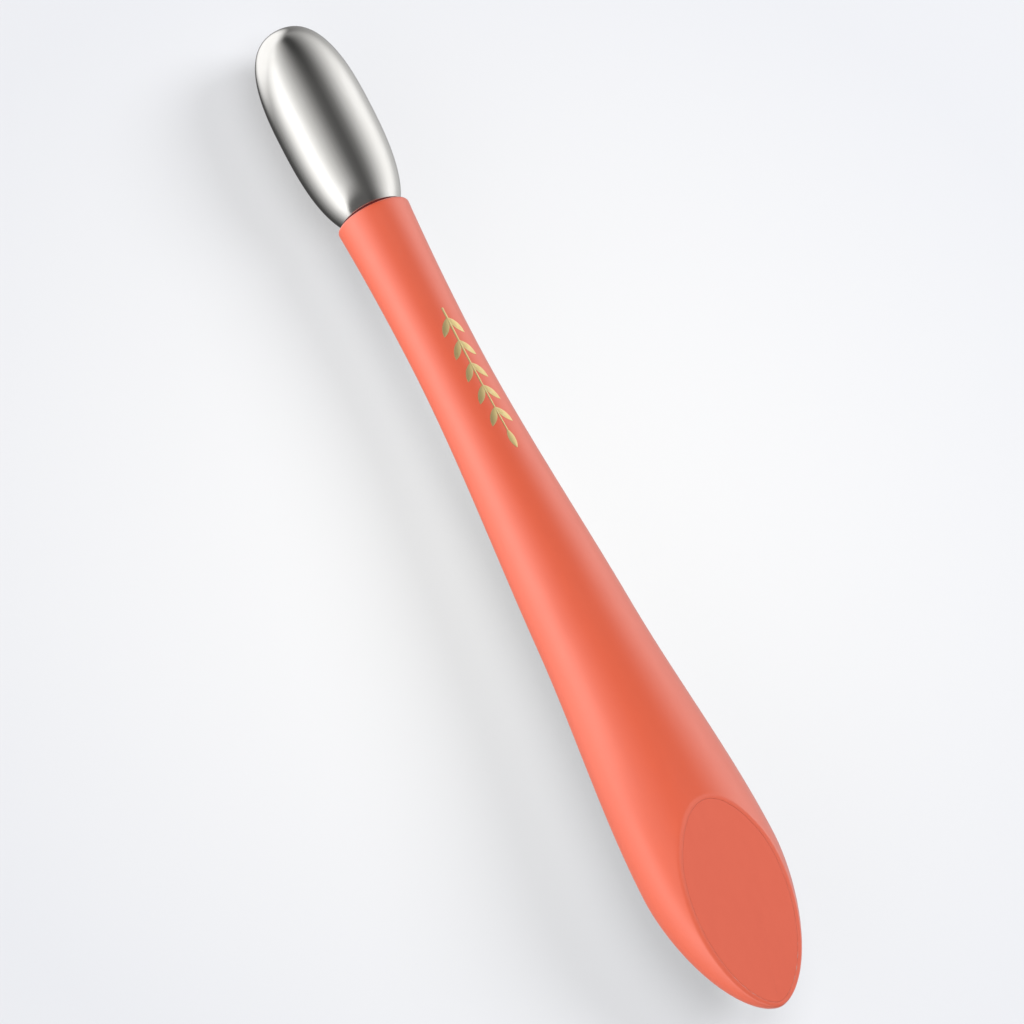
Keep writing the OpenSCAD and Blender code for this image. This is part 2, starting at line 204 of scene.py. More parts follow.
class WandStudio(bpy.types.PropertyGroup):
    """Floor and lights"""

    floor: colour("Floor", "Pale floor", (0.49, 0.488, 0.485))
    surround: amount("Surround", "Strength of the tunnel of soft boxes", 1.0, 0, 3)
    fill: amount("Fill", "Power of the light overhead, in watts", 2.2, 0, 10)
    rim: amount("Rim", "Power of the low light on the left, in watts", 1.7, 0, 10)
    key: amount("Key", "Power of the light that draws the floor shadow, in watts", 16.5, 0, 60)


# ---------------------------------------------------------------------------
# Shape rules
# ---------------------------------------------------------------------------


def cubic(x, x0, x1, r0, r1, m0, m1):
    """Cubic curve from (x0, r0) with slope m0 to (x1, r1) with slope m1."""
    h = x1 - x0
    u = (x - x0) / h
    return (r0 * (2 * u**3 - 3 * u**2 + 1) + m0 * h * (u**3 - 2 * u**2 + u)
            + r1 * (3 * u**2 - 2 * u**3) + m1 * h * (u**3 - u**2))


def grip_radius(x, sizes, inset=0.0):
    """Radius of the grip at each station, or of its inner wall if it is inset."""
    x = np.asarray(x, float)
    neck = cubic(x, MOUTH_X, WAIST_X, sizes.mouth_radius, sizes.waist_radius, MOUTH_SLOPE, 0)
    rise = cubic(x, WAIST_X, MIDDLE_X, sizes.waist_radius, sizes.middle_radius, 0, MIDDLE_SLOPE)
    swell = cubic(x, MIDDLE_X, BELLY_X, sizes.middle_radius, sizes.belly_radius, MIDDLE_SLOPE, 0)
    share = np.clip((x - BELLY_X) / (END_X - BELLY_X - inset), 0, 1)
    tail = (sizes.belly_radius - inset) * (1 - share**TAIL_POWER) ** (1 / TAIL_POWER)
    front = np.where(x < WAIST_X, neck, np.where(x < MIDDLE_X, rise, swell)) - inset
    return np.where(x < BELLY_X, front, tail)


def swung(angle, round_angle, sizes, inset=0.0):
    """Points where a plane through the pivot line, swung by angle, cuts the grip.

    angle and round_angle are arrays of one shape; the points come as an array with a last axis
    of three, in the wand's own axes.
    """
    sine, cosine = np.sin(angle), np.cos(angle)

    def inside(s):
        x, z = PIVOT_X + s * sine, PIVOT_Z - s * cosine
        return grip_radius(x, sizes, inset) ** 2 - z**2

    centre_x = np.minimum(PIVOT_X + PIVOT_Z * np.tan(angle), FACE_X)
    safe = np.where(sine > 1e-6, sine, 1)
    middle = np.where(sine > 1e-6, (centre_x - PIVOT_X) / safe, PIVOT_Z)
    ends = []
    for far in (np.zeros_like(middle), middle + 60 * MM):
        a, b = middle.copy(), far
        for _ in range(40):
            m = (a + b) / 2
            within = inside(m) > 0
            a, b = np.where(within, m, a), np.where(within, b, m)
        ends.append((a + b) / 2)
    near, far = ends
    s = (near + far) / 2 - (far - near) / 2 * np.cos(round_angle)
    y = np.sqrt(np.maximum(inside(s), 0)) * np.sign(np.sin(round_angle) + 1e-15)
    return np.stack([PIVOT_X + s * sine, y, PIVOT_Z - s * cosine], axis=-1)


def unit(v):
    return v / np.maximum(np.linalg.norm(v, axis=-1, keepdims=True), 1e-12)


def skin_normals(points, sizes):
    """Outward normals of the grip's surface at these points."""
    x, y, z = points[..., 0], points[..., 1], points[..., 2]
    step = 0.01 * MM
    ahead = grip_radius(np.minimum(x + step, END_X), sizes) ** 2
    slope = (ahead - grip_radius(x - step, sizes) ** 2) / (2 * step)
    return unit(np.stack([-slope / 2, y, z], axis=-1))


FACE_UP = np.array([math.sin(SLANT), 0, math.cos(SLANT)])


class FaceOutline:
    """The slanted face's outline, and that outline moved inwards."""

    def __init__(self, sizes):
        self.round_angle = (np.arange(AROUND) + 0.5) * 2 * math.pi / AROUND
        self.edge = swung(np.full(AROUND, SWING), self.round_angle, sizes)
        run = unit(np.roll(self.edge, -1, 0) - np.roll(self.edge, 1, 0))
        self.inward = unit(np.cross(run, FACE_UP))
        centre = self.edge.mean(0)
        if ((centre - self.edge) * self.inward).sum() < 0:
            self.inward = -self.inward

    def moved(self, inset, height=0.0):
        return self.edge + self.inward * inset + FACE_UP * height


def to_frame(points):
    """From the wand's own axes to the frame's."""
    turn = np.array(TURN)
    return np.asarray(points) @ turn.T + np.array(TIP)


# ---------------------------------------------------------------------------
# Making meshes
# ---------------------------------------------------------------------------


def face_outward(mesh):
    """Turns a closed mesh so that its faces point out."""
    work = bmesh.new()
    work.from_mesh(mesh)
    if work.calc_volume(signed=True) < 0:
        bmesh.ops.reverse_faces(work, faces=work.faces[:])
    work.to_mesh(mesh)
    work.free()


def smooth(mesh, sharp_above):
    mesh.shade_smooth()
    mesh.set_sharp_from_angle(angle=math.radians(sharp_above))


def ringed(name, rings, closed=True, start_cap=False, end_cap=False, sharp_above=50):
    """A closed mesh from rings of points that follow each other."""
    rings = np.asarray(rings)
    count, around = rings.shape[:2]
    faces = []
    for i in range(count if closed else count - 1):
        a, b = i * around, (i + 1) % count * around
        for j in range(around):
            k = (j + 1) % around
            faces.append((a + j, a + k, b + k, b + j))
    if start_cap:
        faces.append(tuple(reversed(range(around))))
    if end_cap:
        faces.append(tuple(range((count - 1) * around, count * around)))
    mesh = bpy.data.meshes.new(name)
    mesh.from_pydata(to_frame(rings.reshape(-1, 3)).tolist(), [], faces)
    mesh.validate()
    face_outward(mesh)
    smooth(mesh, sharp_above)
    made = bpy.data.objects.new(name, mesh)
    bpy.context.scene.collection.objects.link(made)
    return made


def turned_ring(x, radius, around=AROUND):
    """One ring of points round the wand's axis, starting near the top."""
    angle = (np.arange(around) + 0.5) * 2 * math.pi / around
    return np.stack([np.full(around, x), radius * np.sin(angle), radius * np.cos(angle)], -1)


def settle(piece, body, slot, *nodes):
    """Gives a finished piece its finish and its body, and hides the frame nodes that it stands for."""
    piece.data.materials.clear()
    piece.data.materials.append(finish(slot))
    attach(piece, body)
    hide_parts(*nodes)


# ---------------------------------------------------------------------------
# Node trees
# ---------------------------------------------------------------------------


def plug(tree, socket, value):
    """Sets a socket to a value, or links another node's output to it."""
    if isinstance(value, bpy.types.NodeSocket):
        tree.links.new(value, socket)
    else:
        socket.default_value = value


def add(tree, kind, inputs=None, **settings):
    """Adds a node; inputs maps a socket's name or number to a value or an output."""
    made = tree.nodes.new(kind)
    for name, value in settings.items():
        setattr(made, name, value)
    for key, value in (inputs or {}).items():
        plug(tree, made.inputs[key], value)
    return made


def calc(tree, operation, *values, clamp=False):
    """One step of arithmetic on numbers or outputs."""
    made = add(tree, "ShaderNodeMath", dict(enumerate(values)), operation=operation)
    made.use_clamp = clamp
    return made.outputs[0]


def remap(tree, value, low, high, new_low=0.0, new_high=1.0, **settings):
    """A number moved from one range to another and kept inside it."""
    return add(tree, "ShaderNodeMapRange", {
        "Value": value, "From Min": low, "From Max": high,
        "To Min": new_low, "To Max": new_high}, **settings).outputs[0]


def vector(tree, x=0.0, y=0.0, z=0.0):
    """A vector from three numbers or outputs."""
    return add(tree, "ShaderNodeCombineXYZ", {0: x, 1: y, 2: z}).outputs[0]


def parts(tree, source):
    """The three parts of a vector."""
    return add(tree, "ShaderNodeSeparateXYZ", {0: source}).outputs


def vector_calc(tree, operation, inputs):
    """One step of arithmetic on vectors; returns its outputs, the vector and the number."""
    return add(tree, "ShaderNodeVectorMath", inputs, operation=operation).outputs


def named_tree(name, kind, inputs, outputs):
    """A node group with named sockets; returns it with its input and output nodes."""
    tree = bpy.data.node_groups.new(name, kind)
    for label, socket_type, value in inputs:
        socket = tree.interface.new_socket(label, in_out="INPUT", socket_type=socket_type)
        if value is not None:
            socket.default_value = value
    for label, socket_type in outputs:
        tree.interface.new_socket(label, in_out="OUTPUT", socket_type=socket_type)
    return tree, tree.nodes.new("NodeGroupInput"), tree.nodes.new("NodeGroupOutput")


def run_nodes(name, tree, values, sharp_above=40):
    """Runs a geometry node tree and leaves its result as a plain mesh."""
    made = bpy.data.objects.new(name, bpy.data.meshes.new(name))
    bpy.context.scene.collection.objects.link(made)
    modifier = made.modifiers.new("Shape", "NODES")
    modifier.node_group = tree
    for item in tree.interface.items_tree:
        if item.in_out == "INPUT":
            modifier[item.identifier] = values[item.name]
    graph = bpy.context.evaluated_depsgraph_get()
    mesh = bpy.data.meshes.new_from_object(made.evaluated_get(graph), depsgraph=graph)
    made.modifiers.clear()
    made.data = mesh
    mesh.name = name
    if not mesh.polygons:
        raise RuntimeError(f"{name} came out empty")
    face_outward(mesh)
    smooth(mesh, sharp_above)
    return made


FLOAT, INT, MATERIAL = "NodeSocketFloat", "NodeSocketInt", "NodeSocketMaterial"
SHAPE, VECTOR = "NodeSocketGeometry", "NodeSocketVector"


def lay_in_frame(tree, shape):
    """Moves a shape from the wand's own axes to the frame's."""
    return add(tree, "GeometryNodeTransform", {
        "Geometry": shape, "Translation": TIP, "Rotation": TURN.to_euler()}).outputs[0]


def finish_tree(tree, shape, material, end):
    """Realizes the instances, sets the material and ends the tree."""
    real = add(tree, "GeometryNodeRealizeInstances", {"Geometry": shape})
    done = add(tree, "GeometryNodeSetMaterial", {"Geometry": real.outputs[0],
                                                "Material": material})
    plug(tree, end.inputs[0], done.outputs[0])


def own_place(tree):
    """The parts of each point's own place."""
    return parts(tree, add(tree, "GeometryNodeInputPosition").outputs[0])


def put(tree, shape, place):
    """Moves each point of a shape to its new place."""
    return add(tree, "GeometryNodeSetPosition", {"Geometry": shape, "Position": place}).outputs[0]


def merged(tree, shape, distance):
    return add(tree, "GeometryNodeMergeByDistance",
               {"Geometry": shape, "Distance": distance}).outputs[0]


def spun_strip(tree, steps, around, station, radius):
    """A strip of a solid of revolution. station and radius turn the share along it to sockets."""
    grid = add(tree, "GeometryNodeMeshGrid", {
        "Size X": 1.0, "Size Y": 1.0, "Vertices X": steps, "Vertices Y": around})
    place = own_place(tree)
    share = calc(tree, "ADD", place[0], 0.5, clamp=True)
    angle = calc(tree, "MULTIPLY", calc(tree, "ADD", place[1], 0.5), 2 * math.pi)
    x, r = station(share), radius(share)
    y = calc(tree, "MULTIPLY", r, calc(tree, "SINE", angle))
    z = calc(tree, "MULTIPLY", r, calc(tree, "COSINE", angle))
    return put(tree, grid.outputs[0], vector(tree, x, y, z))


def joined(tree, shapes):
    join = tree.nodes.new("GeometryNodeJoinGeometry")
    for shape in shapes:
        tree.links.new(shape, join.inputs[0])
    return join.outputs[0]


def head_tree():
    """Bullet-shaped head: two super-ellipse halves, spun, with a bore for the motor."""
    tree, given, end = named_tree(
        "Spun head", "GeometryNodeTree",
        [("Radius", FLOAT, 6.5 * MM), ("Widest place", FLOAT, HEAD_WIDEST_X),
         ("Back length", FLOAT, HEAD_BACK), ("End", FLOAT, HEAD_END_X),
         ("Roundness", FLOAT, 2.6), ("Bore radius", FLOAT, HEAD_BORE),
         ("Bore start", FLOAT, HEAD_BORE_X), ("Material", MATERIAL, None)],
        [("Shape", SHAPE)])
    o = given.outputs
    two_over = calc(tree, "DIVIDE", 2.0, o["Roundness"])
    one_over = calc(tree, "DIVIDE", 1.0, o["Roundness"])

    def front_station(share):
        turn = calc(tree, "COSINE", calc(tree, "MULTIPLY", share, math.pi / 2))
        power = calc(tree, "POWER", calc(tree, "MAXIMUM", turn, 0.0), two_over)
        return calc(tree, "MULTIPLY", o["Widest place"], calc(tree, "SUBTRACT", 1.0, power))

    def front_radius(share):
        turn = calc(tree, "SINE", calc(tree, "MULTIPLY", share, math.pi / 2))
        return calc(tree, "MULTIPLY", o["Radius"], calc(tree, "POWER", turn, two_over))

    def between(share, a, b):
        return calc(tree, "ADD", a, calc(tree, "MULTIPLY", share, calc(tree, "SUBTRACT", b, a)))

    def back_station(share):
        return between(share, o["Widest place"], o["End"])

    def back_radius(share):
        out = calc(tree, "DIVIDE",
                   calc(tree, "SUBTRACT", back_station(share), o["Widest place"]),
                   o["Back length"])
        rest = calc(tree, "SUBTRACT", 1.0,
                    calc(tree, "POWER", calc(tree, "MAXIMUM", out, 0.0), o["Roundness"]))
        return calc(tree, "MULTIPLY", o["Radius"], calc(tree, "POWER", rest, one_over))

    def same(socket):
        return lambda share: calc(tree, "ADD", socket, 0.0)

    end_radius = back_radius(1.0)
    # Front, back, end face, bore and the bore's own end
    strips = [spun_strip(tree, steps, 160, station, radius) for steps, station, radius in (
        (60, front_station, front_radius),
        (48, back_station, back_radius),
        (2, same(o["End"]), lambda share: between(share, end_radius, o["Bore radius"])),
        (2, lambda share: between(share, o["End"], o["Bore start"]), same(o["Bore radius"])),
        (2, same(o["Bore start"]), lambda share: between(share, o["Bore radius"], 0.0)))]
    whole = merged(tree, joined(tree, strips), 0.001 * MM)
    finish_tree(tree, lay_in_frame(tree, whole), o["Material"], end)
    return tree


def spring_tree():
    """Conical coil spring from round wire."""
    tree, given, end = named_tree(
        "Coil spring", "GeometryNodeTree",
        [(name, FLOAT, value) for name, value in SPRING.items()] + [("Material", MATERIAL, None)],
        [("Shape", SHAPE)])
    o = given.outputs
    coil = add(tree, "GeometryNodeCurveSpiral", {
        "Resolution": 48, "Rotations": o["Turns"], "Start Radius": o["Wide radius"],
        "End Radius": o["Narrow radius"], "Height": o["Height"], "Reverse": False})
    place = own_place(tree)
    laid = put(tree, coil.outputs[0], vector(
        tree, calc(tree, "SUBTRACT", o["Base"], place[2]), place[0], place[1]))
    wire = add(tree, "GeometryNodeCurvePrimitiveCircle",
               {"Resolution": 12, "Radius": o["Wire radius"]}, mode="RADIUS")
    tube = add(tree, "GeometryNodeCurveToMesh", {
        "Curve": laid, "Profile Curve": wire.outputs[0], "Fill Caps": True})
    finish_tree(tree, lay_in_frame(tree, tube.outputs[0]), o["Material"], end)
    return tree


def leaf_strip(tree, long, half_width, steps, across):
    """A flat leaf from 0 to long; half_width turns the share along it to half its width."""
    grid = add(tree, "GeometryNodeMeshGrid", {
        "Size X": 1.0, "Size Y": 2.0, "Vertices X": steps, "Vertices Y": across})
    place = own_place(tree)
    share = calc(tree, "ADD", place[0], 0.5, clamp=True)
    side = place[1]
    crown = calc(tree, "SUBTRACT", 1.0, calc(tree, "MULTIPLY", side, side))
    held = add(tree, "GeometryNodeStoreNamedAttribute", {
        "Geometry": grid.outputs[0], "Name": "crown", "Value": crown},
        data_type="FLOAT", domain="POINT")
    flat = put(tree, held.outputs[0], vector(
        tree, calc(tree, "MULTIPLY", share, long),
        calc(tree, "MULTIPLY", side, half_width(share))))
    return merged(tree, flat, 0.002 * MM)


def sprig_tree():
    """Foil sprig: pairs of leaves along a stem, wrapped onto the grip from outside."""
    tree, given, end = named_tree(
        "Foil sprig", "GeometryNodeTree",
        [(name, FLOAT, value) for name, value in SPRIG.items()]
        + [("Leaf length", FLOAT, 3 * MM), ("Leaf angle", FLOAT, 0.56), ("Pairs", INT, 5),
           ("Foil height", FLOAT, 0.05 * MM), ("Grip", "NodeSocketObject", None),
           ("Material", MATERIAL, None)],
        [("Shape", SHAPE)])
    o = given.outputs
    half = calc(tree, "MULTIPLY", o["Leaf length"], 0.5)

    def leaf_half_width(share):
        off = calc(tree, "SUBTRACT", calc(tree, "MULTIPLY", share, o["Leaf length"]), half)
        square = calc(tree, "MULTIPLY", o["Leaf curve"], o["Leaf curve"])

        def reach(distance):
            inner = calc(tree, "SUBTRACT", square, calc(tree, "MULTIPLY", distance, distance))
            return calc(tree, "SQRT", inner)

        return calc(tree, "SUBTRACT", reach(off), reach(half))

    def stem_half_width(share):
        return calc(tree, "MULTIPLY", o["Stem width"],
                    calc(tree, "SUBTRACT", 0.55, calc(tree, "MULTIPLY", share, 0.2)))

    leaf = leaf_strip(tree, o["Leaf length"], leaf_half_width, 25, 9)
    stem_long = calc(tree, "SUBTRACT", o["Length"], calc(tree, "MULTIPLY", o["Leaf length"], 0.9))
    stem = leaf_strip(tree, stem_long, stem_half_width, 90, 5)
    points = add(tree, "GeometryNodeMeshLine", {
        "Count": o["Pairs"], "Start Location": vector(tree, o["First pair"]),
        "Offset": vector(tree, o["Pair spacing"])}, mode="OFFSET")
    shapes = []
    for side in (1.0, -1.0):
        turn = vector(tree, z=calc(tree, "MULTIPLY", o["Leaf angle"], side))
        shapes.append(add(tree, "GeometryNodeInstanceOnPoints", {
            "Points": points.outputs[0], "Instance": leaf, "Rotation": turn}).outputs[0])
    tip = vector(tree, calc(tree, "SUBTRACT", o["Length"], o["Leaf length"]))
    shapes.append(add(tree, "GeometryNodeTransform",
                      {"Geometry": leaf, "Translation": tip}).outputs[0])
    leaves = add(tree, "GeometryNodeRealizeInstances", {"Geometry": joined(tree, shapes)})
    # The flat sprig starts this high over the wand's axis, and sinks this deep into the skin
    above, sunk = 20 * MM, 0.01 * MM

    def wrapped(shape, lift):
        """Drops a flat shape onto the grip and gives it its thickness."""
        over = add(tree, "GeometryNodeTransform",
                   {"Geometry": shape, "Translation": vector(tree, o["Start"], z=above)})
        rolled = add(tree, "GeometryNodeTransform",
                     {"Geometry": over.outputs[0], "Rotation": vector(tree, o["Turn"])})
        down = add(tree, "ShaderNodeVectorRotate", {
            "Vector": (0, 0, -1), "Axis": (1, 0, 0), "Angle": o["Turn"]},
            rotation_type="AXIS_ANGLE")
        grip = add(tree, "GeometryNodeObjectInfo", {"Object": o["Grip"]})
        hit = add(tree, "GeometryNodeRaycast", {
            "Target Geometry": grip.outputs["Geometry"],
            "Ray Direction": down.outputs[0], "Ray Length": 2 * above},
            data_type="FLOAT").outputs
        keep = add(tree, "GeometryNodeStoreNamedAttribute", {
            "Geometry": lay_in_frame(tree, rolled.outputs[0]), "Name": "away",
            "Value": hit["Hit Normal"]}, data_type="FLOAT_VECTOR", domain="POINT")
        inward = vector_calc(tree, "SCALE", {0: hit["Hit Normal"], "Scale": -sunk})[0]
        spot = vector_calc(tree, "ADD", {0: hit["Hit Position"], 1: inward})[0]
        base = put(tree, keep.outputs[0], spot)
        raised = add(tree, "GeometryNodeExtrudeMesh", {
            "Mesh": base, "Offset Scale": sunk, "Individual": False}, mode="FACES").outputs
        crown = add(tree, "GeometryNodeInputNamedAttribute", {"Name": "crown"},
                    data_type="FLOAT")
        away = add(tree, "GeometryNodeInputNamedAttribute", {"Name": "away"},
                   data_type="FLOAT_VECTOR")
        rise = calc(tree, "MULTIPLY", calc(tree, "ADD", o["Foil height"], lift),
                    calc(tree, "ADD", 0.55, calc(tree, "MULTIPLY", crown.outputs[0], 0.45)))
        offset = vector_calc(tree, "SCALE", {0: away.outputs[0], "Scale": rise})[0]
        top = add(tree, "GeometryNodeSetPosition", {
            "Geometry": raised["Mesh"], "Selection": raised["Top"], "Offset": offset})
        under = add(tree, "GeometryNodeFlipFaces", {"Mesh": base})
        return merged(tree, joined(tree, [top.outputs[0], under.outputs[0]]), 0.0005 * MM)

    both = joined(tree, [wrapped(leaves.outputs[0], 0.0), wrapped(stem, 0.012 * MM)])
    finish_tree(tree, both, o["Material"], end)
    return tree


# ---------------------------------------------------------------------------
# Finishes
# ---------------------------------------------------------------------------


def group_of(name, maker):
    return bpy.data.node_groups.get(name) or maker(name)


def grain_group(name):
    """Fine grain of a moulded or coated surface."""
    tree, given, end = named_tree(
        name, "ShaderNodeTree",
        [("Place", VECTOR, None), ("Grain size", FLOAT, 0.2 * MM), ("Soften", FLOAT, 0.5)],
        [("Height", FLOAT), ("Fleck", FLOAT)])
    o = given.outputs
    scale = calc(tree, "DIVIDE", 1.0, o["Grain size"])
    fine = add(tree, "ShaderNodeTexNoise", {
        "Vector": o["Place"], "Scale": scale, "Detail": 3.0, "Roughness": 0.6})
    cells = add(tree, "ShaderNodeTexVoronoi", {
        "Vector": o["Place"], "Scale": calc(tree, "MULTIPLY", scale, 1.7)},
        feature="SMOOTH_F1")
    plug(tree, cells.inputs["Smoothness"], o["Soften"])
    height = calc(tree, "ADD", calc(tree, "MULTIPLY", fine.outputs[0], 0.7),
                  calc(tree, "MULTIPLY", cells.outputs["Distance"], 0.5))
    plug(tree, end.inputs["Height"], height)
    plug(tree, end.inputs["Fleck"], calc(tree, "SUBTRACT", fine.outputs[0], 0.5))
    return tree


def marks_group(name):
    """Broad, faint marks from hands and wiping."""
    tree, given, end = named_tree(
        name, "ShaderNodeTree",
        [("Place", VECTOR, None), ("Size", FLOAT, 6 * MM), ("Stretch", FLOAT, 2.5)],
        [("Marks", FLOAT)])
    o = given.outputs
    stretch = vector(tree, calc(tree, "DIVIDE", 1.0, o["Stretch"]), 1.0, 1.0)
    pulled = vector_calc(tree, "MULTIPLY", {0: o["Place"], 1: stretch})[0]
    scale = calc(tree, "DIVIDE", 1.0, o["Size"])
    broad = add(tree, "ShaderNodeTexNoise", {
        "Vector": pulled, "Scale": scale, "Detail": 2.0, "Distortion": 0.6})
    streak = add(tree, "ShaderNodeTexNoise", {
        "Vector": pulled, "Scale": calc(tree, "MULTIPLY", scale, 7.0), "Detail": 4.0})
    both = calc(tree, "MULTIPLY", broad.outputs[0], streak.outputs[0])
    plug(tree, end.inputs["Marks"], calc(tree, "MULTIPLY", both, 3.2, clamp=True))
    return tree


def wear_and_cavity_shade_group(name):
    """Where corners are rubbed: high on edges, broken up by noise; and painted shade in cavities, where the
    surface curves in.
    """
    tree, given, end = named_tree(
        name, "ShaderNodeTree",
        [("Place", VECTOR, None), ("Amount", FLOAT, 0.3)],
        [("Wear", FLOAT), ("Cavity shade", FLOAT)])
    o = given.outputs
    point = add(tree, "ShaderNodeNewGeometry").outputs["Pointiness"]
    edge = remap(tree, point, 0.51, 0.58)
    # Painted shade: high where the surface curves in
    cavity_shade_mask = remap(tree, point, 0.49, 0.42)
    broken = add(tree, "ShaderNodeTexNoise", {"Vector": o["Place"], "Scale": 2500.0,
                                             "Detail": 3.0})
    rubbed = calc(tree, "MULTIPLY", edge, broken.outputs[0])
    plug(tree, end.inputs["Wear"], calc(tree, "MULTIPLY", rubbed, o["Amount"], clamp=True))
    plug(tree, end.inputs["Cavity shade"], calc(tree, "MULTIPLY", cavity_shade_mask, o["Amount"], clamp=True))
    return tree


def turning_group(name):
    """Fine rings that a lathe, a polisher or a winding leaves round the wand's axis."""
    tree, given, end = named_tree(
        name, "ShaderNodeTree",
        [("Place", VECTOR, None), ("Pitch", FLOAT, 0.1 * MM), ("Waver", FLOAT, 0.3)],
        [("Height", FLOAT)])
    o = given.outputs
    place = parts(tree, o["Place"])
    along = calc(tree, "ADD", calc(tree, "MULTIPLY", place[0], ALONG.x),
                 calc(tree, "MULTIPLY", place[2], ALONG.z))
    noise = add(tree, "ShaderNodeTexNoise", {"Vector": o["Place"], "Scale": 900.0,
                                            "Detail": 2.0})
    bent = calc(tree, "ADD", calc(tree, "DIVIDE", along, o["Pitch"]),
                calc(tree, "MULTIPLY", noise.outputs[0], o["Waver"]))
    wave = calc(tree, "SINE", calc(tree, "MULTIPLY", bent, 2 * math.pi))
    plug(tree, end.inputs["Height"], calc(tree, "ADD", calc(tree, "MULTIPLY", wave, 0.5), 0.5))
    return tree


# Finish: colour, second colour, roughness, its spread, metallic, grain size, grain depth,
# edge wear and painted cavity shade, ring pitch and ring depth (lengths in millimetres, depths in micrometres)
INNER_FINISHES = {
    "core_plastic": ((0.72, 0.71, 0.67), (0.66, 0.65, 0.60), 0.55, 0.12, 0, 0.25, 3, 0.15, 0, 0),
    "steel_stem": ((0.45, 0.45, 0.46), (0.36, 0.36, 0.38), 0.30, 0.15, 1, 0.1, 0.5, 0.5, 0.12, 2),
    "brass_insert": ((0.72, 0.52, 0.22), (0.55, 0.36, 0.13), 0.32, 0.2, 1, 0.1, 1, 0.5, 0.2, 4),
    "black_rubber": ((0.02, 0.02, 0.022), (0.035, 0.034, 0.033), 0.75, 0.15, 0, 0.12, 4, 0.3, 0,
                     0),
    "motor_steel": ((0.55, 0.55, 0.54), (0.47, 0.47, 0.47), 0.28, 0.15, 1, 0.1, 0.5, 0.4, 0.05,
                    0.6),
    "bronze_bush": ((0.60, 0.40, 0.20), (0.42, 0.27, 0.13), 0.48, 0.2, 1, 0.08, 3, 0.3, 0, 0),
    "magnet_iron": ((0.12, 0.12, 0.13), (0.08, 0.08, 0.085), 0.55, 0.2, 0.8, 0.1, 4, 0.5, 0, 0),
    "cream_plastic": ((0.78, 0.74, 0.62), (0.70, 0.65, 0.52), 0.45, 0.12, 0, 0.2, 2, 0.2, 0, 0),
    "contact_brass": ((0.74, 0.55, 0.25), (0.62, 0.45, 0.22), 0.3, 0.2, 1, 0.1, 1, 0.4, 0, 0),
    "bright_steel": ((0.60, 0.60, 0.61), (0.5, 0.5, 0.52), 0.2, 0.12, 1, 0.1, 0.4, 0.3, 0.06,
                     0.5),
    "copper_winding": ((0.70, 0.30, 0.14), (0.42, 0.15, 0.06), 0.3, 0.15, 1, 0.1, 1, 0.2, 0.12,
                       25),
    "weight_metal": ((0.50, 0.45, 0.36), (0.38, 0.34, 0.28), 0.5, 0.2, 1, 0.08, 4, 0.5, 0, 0),
    "red_lead": ((0.50, 0.02, 0.02), (0.38, 0.012, 0.012), 0.38, 0.15, 0, 0.15, 2, 0.1, 0, 0),
    "black_lead": ((0.012, 0.012, 0.012), (0.022, 0.021, 0.02), 0.38, 0.15, 0, 0.15, 2, 0.1, 0,
                   0),
    "dark_plastic": ((0.05, 0.053, 0.06), (0.07, 0.073, 0.08), 0.55, 0.15, 0, 0.22, 5, 0.35, 0,
                     0),
    "cell_label": ((0.05, 0.09, 0.16), (0.04, 0.07, 0.13), 0.28, 0.15, 0.4, 0.3, 1, 0.3, 0, 0),
    "contact_nickel": ((0.66, 0.65, 0.62), (0.55, 0.54, 0.5), 0.25, 0.15, 1, 0.1, 0.6, 0.4, 0,
                       0),
    "board_green": ((0.03, 0.16, 0.07), (0.02, 0.11, 0.05), 0.35, 0.15, 0, 0.35, 4, 0.4, 0, 0),
    "switch_black": ((0.02, 0.02, 0.022), (0.03, 0.03, 0.033), 0.5, 0.15, 0, 0.18, 3, 0.3, 0, 0),
    # Seal ring: a real ring in the joint, in a dark red that also paints the shade in the gap
    "red_seal": (None, (0.10, 0.006, 0.005), 0.6, 0.15, 0, 0.15, 3, 0.1, 0, 0),
}


def mixed(tree, mask, a, b):
    """Colour a where the mask is 0, and b where it is 1."""
    made = add(tree, "ShaderNodeMix", data_type="RGBA")
    plug(tree, made.inputs[0], mask)
    for socket, value in ((made.inputs[6], a), (made.inputs[7], b)):
        plug(tree, socket, value if isinstance(value, bpy.types.NodeSocket) else (*value, 1))
    return made.outputs[2]


def surface(slot):
    """A new material with its shader and place; returns the material, tree, shader and place."""
    made = bpy.data.materials.new(f"{slot}_finish")
    made.use_nodes = True
    tree = made.node_tree
    tree.nodes.clear()
    shader = tree.nodes.new("ShaderNodeBsdfPrincipled")
    output = tree.nodes.new("ShaderNodeOutputMaterial")
    tree.links.new(shader.outputs[0], output.inputs[0])
    place = tree.nodes.new("ShaderNodeTexCoord").outputs["Object"]
    return made, tree, shader, place


def use(tree, name, maker, place, **values):
    """Places a shared effect in a material."""
    made = add(tree, "ShaderNodeGroup", node_tree=group_of(name, maker))
    plug(tree, made.inputs["Place"], place)
    for key, value in values.items():
        made.inputs[key.replace("_", " ").capitalize()].default_value = value
    return made


def bumped(tree, shader, *layers):
    """Chains bump layers, each a height output with its depth in metres."""
    normal = None
    for height, depth in layers:
        bump = add(tree, "ShaderNodeBump", {"Height": height, "Distance": depth, "Strength": 1.0})
        if normal is not None:
            tree.links.new(normal, bump.inputs["Normal"])
        normal = bump.outputs[0]
    tree.links.new(normal, shader.inputs["Normal"])


def spread(tree, mask, middle, width):
    """A roughness that wanders round its middle value with a mask."""
    return calc(tree, "ADD", middle - width / 2, calc(tree, "MULTIPLY", mask, width), clamp=True)


